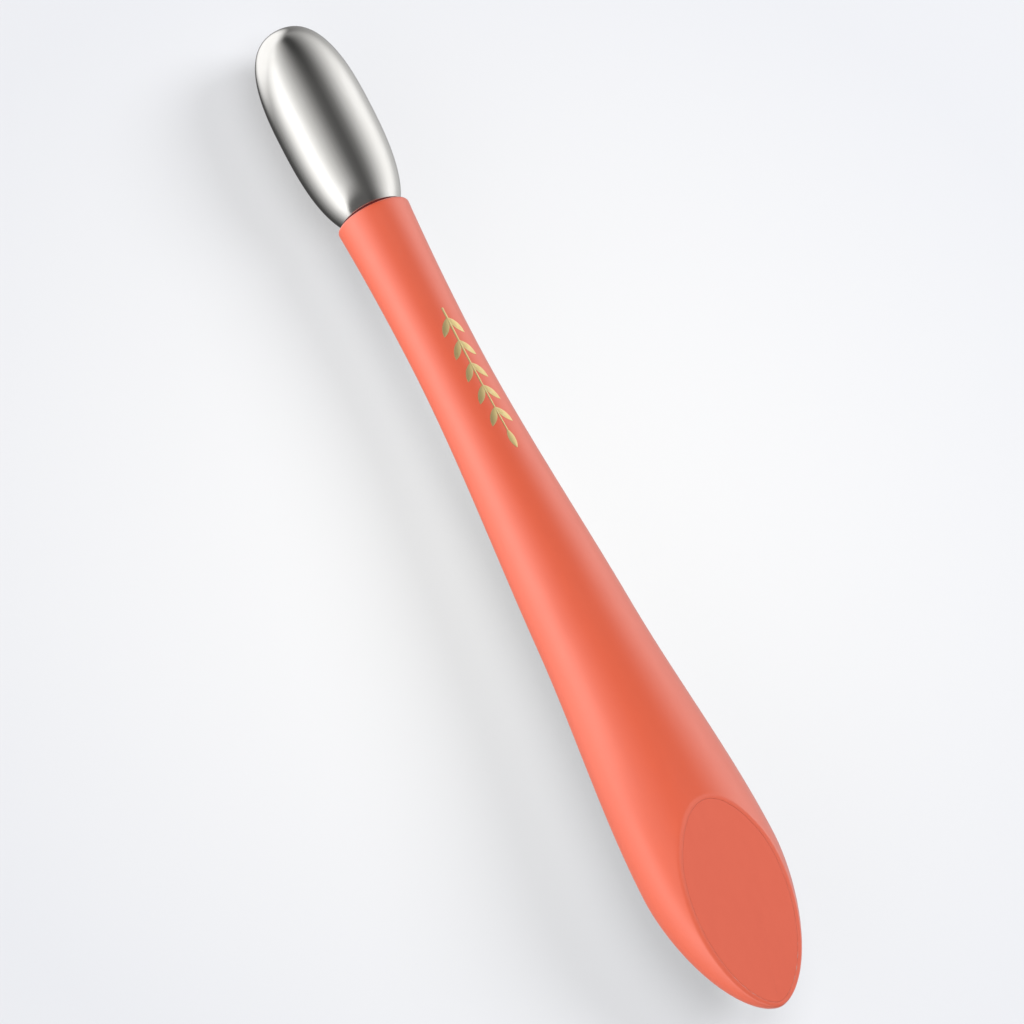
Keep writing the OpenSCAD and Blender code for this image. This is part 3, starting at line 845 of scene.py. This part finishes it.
def inner_finish(slot, values, first=None):
    """A finish from the table of inner finishes."""
    (base, second, rough, width, metallic, grain_mm, grain_um, wear, pitch_mm, ring_um) = values
    made, tree, shader, place = surface(slot)
    base = first or base
    grain = use(tree, "Fine grain", grain_group, place, grain_size=grain_mm * MM)
    marks = use(tree, "Handling marks", marks_group, place, size=4 * MM)
    worn = use(tree, "Edge wear and cavity shade", wear_and_cavity_shade_group, place, amount=wear)
    mask = calc(tree, "ADD", marks.outputs["Marks"],
                calc(tree, "MULTIPLY", grain.outputs["Fleck"], 0.8), clamp=True)
    tone = mixed(tree, mask, base, second)
    bright = tuple(min(1, c * 1.5 + 0.03) for c in base)
    # Painted shade: cavities are darkened to 0.55 of the colour
    painted_cavity_shade = tuple(c * 0.55 for c in base)
    tone = mixed(tree, worn.outputs["Wear"], tone, bright)
    tone = mixed(tree, worn.outputs["Cavity shade"], tone, painted_cavity_shade)
    plug(tree, shader.inputs["Base Color"], tone)
    plug(tree, shader.inputs["Roughness"], spread(tree, mask, rough, width))
    shader.inputs["Metallic"].default_value = metallic
    layers = [(grain.outputs["Height"], grain_um * 1e-6)]
    if ring_um:
        rings = use(tree, "Turning rings", turning_group, place, pitch=pitch_mm * MM)
        layers.append((rings.outputs["Height"], ring_um * 1e-6))
    bumped(tree, shader, *layers)
    return made, tree, shader, place


def soft_touch(slot, base, rough, gloss, sheen, rim=None):
    """Satin rubbery coat: fine grain, faint marks and a soft sheen towards the edges."""
    made, tree, shader, place = surface(slot)
    grain = use(tree, "Fine grain", grain_group, place, grain_size=0.16 * MM, soften=0.8)
    marks = use(tree, "Handling marks", marks_group, place, size=9 * MM)
    worn = use(tree, "Edge wear and cavity shade", wear_and_cavity_shade_group, place, amount=0.12)
    deep = tuple(c * k for c, k in zip(base, (0.97, 0.93, 0.92)))
    pale = (min(1, base[0] * 1.03), base[1] * 1.12, base[2] * 1.15)
    tone = mixed(tree, marks.outputs["Marks"], base, deep)
    fleck = calc(tree, "MULTIPLY", grain.outputs["Fleck"], 0.6, clamp=True)
    tone = mixed(tree, fleck, tone, pale)
    tone = mixed(tree, worn.outputs["Wear"], tone, pale)
    if rim:
        # The flat rim round the thumb pad has the pad's own tone
        high = vector_calc(tree, "DOT_PRODUCT", {0: place, 1: FACE_NORMAL})["Value"]
        plane = Vector(THUMB["pos_m"]).dot(FACE_NORMAL)
        on_face = remap(tree, high, plane - 0.10 * MM, plane - 0.01 * MM)
        tone = mixed(tree, on_face, tone, rim)
    # Light that this coat throws on the floor is kept neutral
    thrown = tree.nodes.new("ShaderNodeLightPath").outputs["Is Diffuse Ray"]
    tone = mixed(tree, thrown, tone, (0.4, 0.4, 0.41))
    plug(tree, shader.inputs["Base Color"], tone)
    plug(tree, shader.inputs["Roughness"], spread(tree, marks.outputs["Marks"], rough, 0.05))
    shader.inputs["IOR"].default_value = 1.7
    shader.inputs["Specular IOR Level"].default_value = gloss
    shader.inputs["Sheen Weight"].default_value = sheen
    shader.inputs["Sheen Roughness"].default_value = 0.4
    bumped(tree, shader, (grain.outputs["Height"], 1.6e-6))
    return made


def polished(slot, base, rough):
    """Mirror metal with polishing haze, faint wiping marks and hair-fine rings."""
    made, tree, shader, place = surface(slot)
    marks = use(tree, "Handling marks", marks_group, place, size=5 * MM)
    rings = use(tree, "Turning rings", turning_group, place, pitch=0.07 * MM, waver=2.5)
    grain = use(tree, "Fine grain", grain_group, place, grain_size=0.05 * MM)
    warm = tuple(c * k for c, k in zip(base, (0.97, 0.965, 0.955)))
    plug(tree, shader.inputs["Base Color"], mixed(tree, marks.outputs["Marks"], base, warm))
    plug(tree, shader.inputs["Roughness"], spread(tree, marks.outputs["Marks"], rough, 0.05))
    shader.inputs["Metallic"].default_value = 1
    bumped(tree, shader, (rings.outputs["Height"], 0.05e-6), (grain.outputs["Height"], 0.05e-6))
    return made


def foil(slot, base):
    """Hot-stamped gold foil: bright, a little wrinkled, with a paler worn tone."""
    made, tree, shader, place = surface(slot)
    grain = use(tree, "Fine grain", grain_group, place, grain_size=0.25 * MM)
    marks = use(tree, "Handling marks", marks_group, place, size=2.5 * MM)
    worn = use(tree, "Edge wear and cavity shade", wear_and_cavity_shade_group, place, amount=0.5)
    pale = (1.0, 0.88, 0.55)
    tone = mixed(tree, marks.outputs["Marks"], base, tuple(c * 0.86 for c in base))
    tone = mixed(tree, worn.outputs["Wear"], tone, pale)
    plug(tree, shader.inputs["Base Color"], tone)
    plug(tree, shader.inputs["Roughness"], spread(tree, marks.outputs["Marks"], 0.30, 0.10))
    shader.inputs["Metallic"].default_value = 0.75
    bumped(tree, shader, (grain.outputs["Height"], 6e-6))
    return made


def label_finish(slot):
    """Printed foil sleeve of the cell: a dark field with a plain pale band at the front end."""
    made, tree, shader, place = inner_finish(slot, INNER_FINISHES[slot])
    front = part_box("cell_body")[0].x
    band = remap(tree, parts(tree, place)[0], front + 6.0 * MM, front + 6.1 * MM, 1.0, 0.0)
    old = shader.inputs["Base Color"].links[0].from_socket
    plug(tree, shader.inputs["Base Color"], mixed(tree, band, old, (0.55, 0.56, 0.58)))
    return made


def finish(slot):
    """The material of one slot, made when it is first asked for."""
    found = bpy.data.materials.get(f"{slot}_finish")
    if found:
        return found
    colours = bpy.context.scene.wand_colours
    if slot == "coral_skin":
        return soft_touch(slot, tuple(colours.skin), 0.33, 1.0, 0.2, tuple(colours.pad))
    if slot == "coral_pad":
        return soft_touch(slot, tuple(colours.pad), 0.45, 0.8, 0.1)
    if slot == "polished_head":
        return polished(slot, tuple(colours.metal), 0.16)
    if slot == "gold_foil":
        return foil(slot, tuple(colours.gold))
    if slot == "cell_label":
        return label_finish(slot)
    first = tuple(colours.seal) if slot == "red_seal" else None
    return inner_finish(slot, INNER_FINISHES[slot], first)[0]


# ---------------------------------------------------------------------------
# Operators
# ---------------------------------------------------------------------------


class WAND_OT_grip_skin(bpy.types.Operator):
    """Build the grip's soft skin, from the rounded mouth to the rim of the slanted face"""

    bl_idname = "wand.grip_skin"
    bl_label = "Grip skin"

    def execute(self, context):
        sizes = context.scene.wand_sizes
        outline = FaceOutline(sizes)
        rings = []
        # Rounded mouth, from the inner lip over the front to the outside
        rounding = sizes.mouth_round
        inner_round = 0.12 * MM
        front_round = min(rounding, sizes.mouth_radius - LIP_RADIUS - inner_round)
        for a in np.linspace(0, math.pi / 2, 5):
            rings.append(turned_ring(MOUTH_X + inner_round * (1 - math.sin(a)),
                                     LIP_RADIUS + inner_round * (1 - math.cos(a))))
        outer_x = MOUTH_X + rounding
        outer_r = float(grip_radius(outer_x, sizes))
        for a in np.linspace(0, math.pi / 2, 9)[:-1]:
            rings.append(turned_ring(outer_x - rounding * math.cos(a),
                                     outer_r - front_round * (1 - math.sin(a))))
        for x in np.linspace(outer_x, PIVOT_X, 92)[:-1]:
            rings.append(turned_ring(x, float(grip_radius(x, sizes))))
        # Tail: rings swing about the pivot line until they reach the rim, rounder on the left
        edge_normal = skin_normals(outline.edge, sizes)
        turn_sine = np.sqrt(1 - np.clip(edge_normal @ FACE_UP, -1, 1) ** 2)
        left = 0.5 + 0.5 * outline.inward[:, 1]
        rim_round = sizes.rim_round * (0.3 + 0.7 * left)
        reach = np.hypot(outline.edge[:, 0] - PIVOT_X, outline.edge[:, 2] - PIVOT_Z)
        last = SWING - rim_round * turn_sine / reach
        for share in np.linspace(0, 1, 72):
            rings.append(swung(last * share, outline.round_angle, sizes))
        start, flat = rings[-1], outline.moved(rim_round[:, None])
        for t in np.linspace(0, 1, 10)[1:]:
            rings.append(start * (1 - t) ** 2 + outline.edge * 2 * t * (1 - t) + flat * t**2)
        # Pocket wall beside the pad, with a small rounding at its top
        small, pocket_deep, skin_deep = 0.015 * MM, 0.9 * MM, 1.1 * MM
        wall = sizes.rim + SKIN_LAP
        rings.append(outline.moved(wall - small))
        rings.append(outline.moved(wall - 0.3 * small, -0.3 * small))
        rings.append(outline.moved(wall, -small))
        rings.append(outline.moved(wall, -pocket_deep))
        # Inner wall, back to the mouth's lip
        inner_last = SWING - skin_deep / reach
        for share in np.linspace(1, 0, 18):
            rings.append(swung(inner_last * share, outline.round_angle, sizes, sizes.skin))
        for x in np.linspace(PIVOT_X, LIP_X, 24)[1:]:
            rings.append(turned_ring(x, float(grip_radius(x, sizes, sizes.skin))))
        rings.append(turned_ring(LIP_X, LIP_RADIUS))
        made = ringed("soft_skin", rings)
        settle(made, "grip", "coral_skin", "grip_skin")
        return {"FINISHED"}


class WAND_OT_metal_head(bpy.types.Operator):
    """Build the polished bullet-shaped head"""

    bl_idname = "wand.metal_head"
    bl_label = "Metal head"

    def execute(self, context):
        sizes = context.scene.wand_sizes
        made = run_nodes("polished_bullet", head_tree(), {
            "Radius": sizes.head_radius, "Widest place": HEAD_WIDEST_X,
            "Back length": HEAD_BACK, "End": HEAD_END_X,
            "Roundness": sizes.head_roundness, "Bore radius": HEAD_BORE,
            "Bore start": HEAD_BORE_X, "Material": finish("polished_head")})
        settle(made, "grip", "polished_head", "massage_head")
        return {"FINISHED"}


class WAND_OT_thumb_pad(bpy.types.Operator):
    """Build the soft pad of the thumb button, flush with the grip's rim"""

    bl_idname = "wand.thumb_pad"
    bl_label = "Thumb pad"

    def execute(self, context):
        sizes = context.scene.wand_sizes
        outline = FaceOutline(sizes)
        side = sizes.rim + SKIN_LAP + sizes.pad_gap
        # The pad's foot is set in a little, with a short slope from foot to side
        rounding, foot, foot_top, side_foot = 0.025 * MM, 0.07 * MM, 0.45 * MM, 0.35 * MM
        rings = [outline.moved(side + foot + 0.5 * MM, -sizes.pad_thickness),
                 outline.moved(side + foot, -sizes.pad_thickness),
                 outline.moved(side + foot, -foot_top),
                 outline.moved(side, -side_foot)]
        for a in np.linspace(0, math.pi / 2, 5):
            rings.append(outline.moved(side + rounding * (1 - math.cos(a)),
                                       -rounding * (1 - math.sin(a))))
        for inset in (0.2, 0.4, 0.7, 1.1):
            rings.append(outline.moved(side + rounding + inset * MM))
        made = ringed("thumb_pad", rings, closed=False, start_cap=True, end_cap=True)
        settle(made, "button", "coral_pad", "button_pad")
        return {"FINISHED"}


class WAND_OT_foil_sprig(bpy.types.Operator):
    """Lay the foil sprig on the neck; the grip skin has to be there first"""

    bl_idname = "wand.foil_sprig"
    bl_label = "Foil sprig"

    def execute(self, context):
        sizes = context.scene.wand_sizes
        grip = bpy.data.objects.get("soft_skin")
        if grip is None:
            raise RuntimeError("build the grip skin before the foil sprig")
        made = run_nodes("leaf_sprig", sprig_tree(), {
            **SPRIG, "Leaf length": sizes.leaf, "Leaf angle": sizes.leaf_turn,
            "Pairs": sizes.leaf_pairs, "Foil height": sizes.foil, "Grip": grip,
            "Material": finish("gold_foil")})
        settle(made, "grip", "gold_foil", "gold_sprig")
        return {"FINISHED"}


class WAND_OT_seal_ring(bpy.types.Operator):
    """Build the ring that seals the joint between head and grip; it reaches out past the grip's mouth, and its
    dark red paints the shade in the gap there
    """

    bl_idname = "wand.seal_ring"
    bl_label = "Seal ring"

    # Stations and radii in millimetres: the front in the mouth, the waist, the foot and the bore
    PROFILE = ((28.32, 4.30), (28.34, 4.36), (28.40, 4.39), (28.9, 4.39), (29.15, 4.37),
               (29.25, 4.25), (29.3, 4.17), (30.22, 4.17), (30.3, 4.09), (30.3, 3.38),
               (30.22, 3.3), (29.38, 3.3), (29.3, 3.38), (29.28, 3.6), (29.2, 3.66))
    ON_HEAD = (29.12, 28.36)
    CLEARANCE = 0.04
    SIDES = 128

    def execute(self, context):
        sizes = context.scene.wand_sizes
        rings = [turned_ring(x * MM, r * MM, self.SIDES) for x, r in self.PROFILE]
        # Up the back of the head, just clear of the metal, out past the grip's mouth, where the dark ring paints
        # the shade of the gap
        start, stop = self.ON_HEAD
        for x in np.linspace(start * MM, stop * MM, 8):
            out = (x - HEAD_WIDEST_X) / HEAD_BACK
            rest = (1 - out**sizes.head_roundness) ** (1 / sizes.head_roundness)
            rings.append(turned_ring(x, sizes.head_radius * rest + self.CLEARANCE * MM,
                                     self.SIDES))
        made = ringed("red_seal_ring", rings, sharp_above=80)
        settle(made, "grip", "red_seal", "seal_ring")
        return {"FINISHED"}


class WAND_OT_inner_parts(bpy.types.Operator):
    """Wind the cell's spring and give every inner part its finish"""

    bl_idname = "wand.inner_parts"
    bl_label = "Inner parts"

    FINISH_OF = {
        "core_left": "core_plastic", "core_right": "core_plastic", "head_stem": "steel_stem",
        "neck_insert": "brass_insert", "motor_sleeve": "black_rubber",
        "motor_can": "motor_steel", "motor_bush": "bronze_bush", "motor_magnet": "magnet_iron",
        "motor_end_cap": "cream_plastic", "motor_terminals": "contact_brass",
        "motor_shaft": "bright_steel", "rotor_winding": "copper_winding",
        "eccentric_weight": "weight_metal", "lead_red": "red_lead", "lead_black": "black_lead",
        "cell_carrier": "dark_plastic", "cell_body": "cell_label",
        "cell_nub": "contact_nickel", "positive_contact": "contact_nickel",
        "negative_contact": "contact_nickel", "negative_strip": "contact_nickel",
        "tail_frame": "dark_plastic", "frame_screws": "bright_steel",
        "switch_board": "board_green", "switch_body": "switch_black",
        "switch_plunger": "cream_plastic", "button_core": "core_plastic",
    }

    def execute(self, context):
        spring = run_nodes("cell_spring", spring_tree(),
                           {**SPRING, "Material": finish("bright_steel")}, sharp_above=60)
        settle(spring, "grip", "bright_steel", "negative_spring")
        for name, slot in self.FINISH_OF.items():
            piece = frame["nodes"][name]
            for place in piece.material_slots:
                place.material = finish(slot)
            if not piece.material_slots:
                raise RuntimeError(f"{name} has no material slot")
        return {"FINISHED"}


class WAND_OT_studio(bpy.types.Operator):
    """Set up the pale floor, the soft lights and the camera"""

    bl_idname = "wand.studio"
    bl_label = "Studio"

    # How bright the tunnel of soft boxes is, by the angle from overhead, towards +Y, in degrees
    TUNNEL = ((-180, 0.05), (-157, 0.12), (-137, 0.36), (-121, 0.72), (-107, 1.15),
              (-95, 1.45), (-80, 1.55), (-68, 1.2), (-56, 0.88), (-42, 0.6), (-28, 0.36),
              (-14, 0.17), (0, 0.10), (10, 0.12), (24, 0.24), (38, 0.49), (52, 0.78), (66, 1.05),
              (78, 1.2), (92, 1.15), (108, 0.76), (135, 0.5), (160, 0.3), (180, 0.05))
    BRIGHTEST = 1.6
    # The boxes fade from this far towards the tunnel's ends, this fast, and faster on the right
    END_START, END_DROP, RIGHT_DROP = 0.35, 0.45, 0.8
    # Round soft box by the head's tip: its direction, its soft edge in cosines, its brightness
    NOSE_BOX, NOSE_EDGE, NOSE_BRIGHT = (-0.85, -0.30, -0.43), (0.72, 0.93), 1.25
    BACKDROP = (0.88, 0.885, 0.905, 1)

    # Floor: radii of its rings in metres, its own light, and the painted fall-off of light: the darker, a little
    # bluer tone that it reaches at the given distance from the wand
    FLOOR_RADII = (0.05, 0.15, 0.4, 1.0, 2.0, 4.0)
    FLOOR_GLOW = 0.35
    FLOOR_TINT, FLOOR_TINT_AT = (0.78, 0.80, 0.86), 0.09

    # Flag: its ends along X and its distance in millimetres, its folds by the angle from
    # overhead in degrees, and its brightness
    FLAG_ENDS, FLAG_AWAY, FLAG_GLOW = (-36, 220), 100, 0.11
    FLAG_ANGLES = (-104, -68, -32, 4)
    # Its soft edges: the front one along X; the left one, whose angle grows along X; the top one
    FLAG_FRONT = (-36, -6)
    FLAG_LEFT_X, FLAG_LEFT, FLAG_LEFT_SOFT = (-36, 8), (-40, -90), 16
    FLAG_TOP = (4, -14)

    # Camera: angles between it and the wand, what it looks at in millimetres, and its lens
    LEAN = math.radians(17.706)
    ROLL = math.radians(21.649)
    SPREAD = math.radians(62.661)
    MIDDLE, TO_LEFT, TO_TOP = 75, 1.960, 0.362
    LENS, SENSOR, WIDE = 600, 36, 133.66 * MM

    def execute(self, context):
        self.floor(context)
        self.surround(context)
        self.flag(context)
        self.lights(context)
        self.camera(context)
        context.scene.view_settings.view_transform = "Standard"
        return {"FINISHED"}

    def floor(self, context):
        """Round pale floor, finely ringed near the wand."""
        radii, around = self.FLOOR_RADII, 64
        points, faces = [(0, 0, 0)], []
        for radius in radii:
            for j in range(around):
                a = 2 * math.pi * j / around
                points.append((radius * math.cos(a), radius * math.sin(a), 0))
        for j in range(around):
            faces.append((0, 1 + j, 1 + (j + 1) % around))
            for i in range(len(radii) - 1):
                a, b = 1 + i * around, 1 + (i + 1) * around
                k = (j + 1) % around
                faces.append((a + j, b + j, b + k, a + k))
        mesh = bpy.data.meshes.new("studio_floor")
        mesh.from_pydata([(x, y, z + CAD_LOW.z - 0.01 * MM) for x, y, z in points], [], faces)
        mesh.validate()
        made = bpy.data.objects.new("studio_floor", mesh)
        context.scene.collection.objects.link(made)
        made.visible_glossy = False
        made.visible_shadow = False
        paint, tree, shader, place = surface("floor")
        base = tuple(context.scene.wand_studio.floor)
        away = vector_calc(tree, "LENGTH", {0: place})["Value"]
        # Painted fall-off of light: the floor's colour turns darker and a little bluer away from the wand
        falloff_shade = tuple(c * k for c, k in zip(base, self.FLOOR_TINT))
        plug(tree, shader.inputs["Base Color"],
             mixed(tree, remap(tree, away, 0.0, self.FLOOR_TINT_AT), base, falloff_shade))
        shader.inputs["Roughness"].default_value = 0.9
        shader.inputs["Specular IOR Level"].default_value = 0.0
        shader.inputs["Emission Color"].default_value = (1, 1, 1, 1)
        shader.inputs["Emission Strength"].default_value = self.FLOOR_GLOW
        made.data.materials.append(paint)
        self.receiver = bpy.data.collections.new("floor_only")
        self.receiver.objects.link(made)

    def surround(self, context):
        """World light: soft boxes in a tunnel along the wand, dim overhead and at the ends."""
        world = bpy.data.worlds.new("soft_boxes")
        context.scene.world = world
        world.use_nodes = True
        tree = world.node_tree
        tree.nodes.clear()
        output = tree.nodes.new("ShaderNodeOutputWorld")
        direction = tree.nodes.new("ShaderNodeTexCoord").outputs["Generated"]
        toward = parts(tree, direction)
        angle = calc(tree, "ARCTAN2", toward[1], toward[2])
        share = calc(tree, "ADD", calc(tree, "DIVIDE", angle, 2 * math.pi), 0.5)
        ramp = add(tree, "ShaderNodeValToRGB", {0: share})
        ramp.color_ramp.interpolation = "CARDINAL"
        stops = ramp.color_ramp.elements
        while len(stops) > 1:
            stops.remove(stops[-1])
        for number, (degrees, bright) in enumerate(self.TUNNEL):
            where = degrees / 360 + 0.5
            stop = stops[0] if number == 0 else stops.new(where)
            stop.position = where
            level = bright / self.BRIGHTEST
            stop.color = (level, level, level, 1)
        # The boxes fade towards the ends of the tunnel, the right one sooner
        side = calc(tree, "ADD", calc(tree, "MULTIPLY", toward[1], 4.0), 0.5, clamp=True)
        drop = calc(tree, "ADD", calc(tree, "MULTIPLY", side, self.RIGHT_DROP), self.END_DROP)
        out = calc(tree, "SUBTRACT", calc(tree, "ABSOLUTE", toward[0]), self.END_START)
        kept = calc(tree, "SUBTRACT", 1.0,
                    calc(tree, "MULTIPLY", drop, calc(tree, "MAXIMUM", out, 0.0)))
        level = calc(tree, "MULTIPLY", ramp.outputs[0], kept)
        # A round soft box low in front of the head's tip
        nose = vector_calc(tree, "DOT_PRODUCT", {
            0: direction, 1: Vector(self.NOSE_BOX).normalized()})["Value"]
        blob = remap(tree, nose, *self.NOSE_EDGE, new_high=self.NOSE_BRIGHT / self.BRIGHTEST,
                     interpolation_type="SMOOTHSTEP")
        level = calc(tree, "MAXIMUM", level, blob)
        grey = add(tree, "ShaderNodeCombineColor", {0: level, 1: level, 2: level})
        glow = add(tree, "ShaderNodeBackground", {
            "Color": grey.outputs[0],
            "Strength": context.scene.wand_studio.surround * self.BRIGHTEST})
        pale = add(tree, "ShaderNodeBackground", {"Color": self.BACKDROP, "Strength": 1.0})
        seen = tree.nodes.new("ShaderNodeLightPath").outputs["Is Camera Ray"]
        both = add(tree, "ShaderNodeMixShader", {0: seen, 1: glow.outputs[0],
                                                2: pale.outputs[0]})
        tree.links.new(both.outputs[0], output.inputs[0])

    def flag(self, context):
        """Dark flag over the belly, seen in reflections only, that trims the left highlight."""
        away = self.FLAG_AWAY * MM
        points = [(x * MM, away * math.sin(math.radians(a)), away * math.cos(math.radians(a)))
                  for a in self.FLAG_ANGLES for x in self.FLAG_ENDS]
        faces = [(i, i + 1, i + 3, i + 2) for i in range(0, len(points) - 2, 2)]
        mesh = bpy.data.meshes.new("studio_flag")
        mesh.from_pydata(points, [], faces)
        made = bpy.data.objects.new("studio_flag", mesh)
        context.scene.collection.objects.link(made)
        for off in ("camera", "diffuse", "transmission", "volume_scatter", "shadow"):
            setattr(made, f"visible_{off}", False)
        paint, tree, shader, place = surface("flag")
        shader.inputs["Base Color"].default_value = (0, 0, 0, 1)
        shader.inputs["Specular IOR Level"].default_value = 0.0
        shader.inputs["Emission Color"].default_value = (1, 1, 1, 1)
        shader.inputs["Emission Strength"].default_value = self.FLAG_GLOW
        # Soft edges: in along the wand, and in from the left by an angle that grows with it
        x, y, z = parts(tree, place)
        angle = calc(tree, "ARCTAN2", y, z)
        reach = remap(tree, x, *(mm * MM for mm in self.FLAG_LEFT_X),
                      *(math.radians(a) for a in self.FLAG_LEFT))
        inside = calc(tree, "DIVIDE", calc(tree, "SUBTRACT", angle, reach),
                      math.radians(self.FLAG_LEFT_SOFT))
        left = calc(tree, "ADD", inside, 0.5, clamp=True)
        front = remap(tree, x, *(mm * MM for mm in self.FLAG_FRONT))
        top = remap(tree, angle, *(math.radians(a) for a in self.FLAG_TOP))
        cover = calc(tree, "MULTIPLY", calc(tree, "MULTIPLY", left, front), top)
        plug(tree, shader.inputs["Alpha"], cover)
        made.data.materials.append(paint)

    def lights(self, context):
        """Three soft lights that show in no reflection; the key falls on the floor only."""
        studio = context.scene.wand_studio
        middle = Vector((0, 0, 5 * MM))
        for name, watts, tilt, distance, size, floor_only in (
                ("overhead_fill", studio.fill, 2, 0.6, 0.5, False),
                ("low_rim", studio.rim, -105, 0.6, 0.4, False),
                ("shadow_key", studio.key, 52, 1.5, 0.8, True)):
            data = bpy.data.lights.new(name, "AREA")
            data.energy, data.size, data.shape = watts, size, "DISK"
            made = bpy.data.objects.new(name, data)
            context.scene.collection.objects.link(made)
            a = math.radians(tilt)
            away = Vector((0, math.sin(a), math.cos(a)))
            made.location = middle + away * distance
            made.rotation_euler = away.to_track_quat("Z", "Y").to_euler()
            made.visible_glossy = False
            made.visible_camera = False
            if floor_only:
                made.light_linking.receiver_collection = self.receiver

    def camera(self, context):
        """Long lens, looking down at the wand from its left and from the thick end."""
        lean, roll = self.LEAN, self.ROLL
        down_axis = Vector((math.cos(lean), math.sin(roll) * math.sin(lean),
                            -math.cos(roll) * math.sin(lean)))
        side = Vector((0, math.cos(roll), math.sin(roll)))
        back = Vector((math.sin(lean), -math.sin(roll) * math.cos(lean),
                       math.cos(roll) * math.cos(lean)))
        right = down_axis * math.cos(self.SPREAD) + side * math.sin(self.SPREAD)
        up = side * math.cos(self.SPREAD) - down_axis * math.sin(self.SPREAD)
        right, up, back = (TURN @ v for v in (right, up, back))
        centre = (TIP + ALONG * self.MIDDLE * MM - right * self.TO_LEFT * MM
                  + up * self.TO_TOP * MM)
        data = bpy.data.cameras.new("studio_camera")
        data.lens, data.sensor_width = self.LENS, self.SENSOR
        data.clip_start, data.clip_end = 0.1, 50
        made = bpy.data.objects.new("studio_camera", data)
        context.scene.collection.objects.link(made)
        turn = Matrix((right, up, back)).transposed().to_4x4()
        away = back * self.WIDE * self.LENS / self.SENSOR
        made.matrix_world = Matrix.Translation(centre + away) @ turn
        context.scene.camera = made


class WAND_PT_panel(bpy.types.Panel):
    """Every step of the wand, in the order of making"""

    bl_label = "Massage Wand"
    bl_space_type = "VIEW_3D"
    bl_region_type = "UI"
    bl_category = "Wand"

    def draw(self, context):
        scene = context.scene
        for step in STEPS:
            self.layout.operator(step.bl_idname)
        for group in (scene.wand_sizes, scene.wand_colours, scene.wand_studio):
            box = self.layout.box()
            for name in group.__annotations__:
                box.prop(group, name)


STEPS = (WAND_OT_grip_skin, WAND_OT_metal_head, WAND_OT_thumb_pad, WAND_OT_foil_sprig,
         WAND_OT_seal_ring, WAND_OT_inner_parts, WAND_OT_studio)
GROUPS = {"wand_sizes": WandSizes, "wand_colours": WandColours, "wand_studio": WandStudio}


def register():
    for group in GROUPS.values():
        bpy.utils.register_class(group)
    for name, group in GROUPS.items():
        setattr(bpy.types.Scene, name, bpy.props.PointerProperty(type=group))
    for step in (*STEPS, WAND_PT_panel):
        bpy.utils.register_class(step)


def unregister():
    for step in reversed((*STEPS, WAND_PT_panel)):
        bpy.utils.unregister_class(step)
    for name in GROUPS:
        delattr(bpy.types.Scene, name)
    for group in reversed(list(GROUPS.values())):
        bpy.utils.unregister_class(group)


def main():
    register()
    bpy.ops.wand.grip_skin()
    bpy.ops.wand.metal_head()
    bpy.ops.wand.thumb_pad()
    bpy.ops.wand.foil_sprig()
    bpy.ops.wand.seal_ring()
    bpy.ops.wand.inner_parts()
    bpy.ops.wand.studio()


if __name__ == "__main__":
    main()
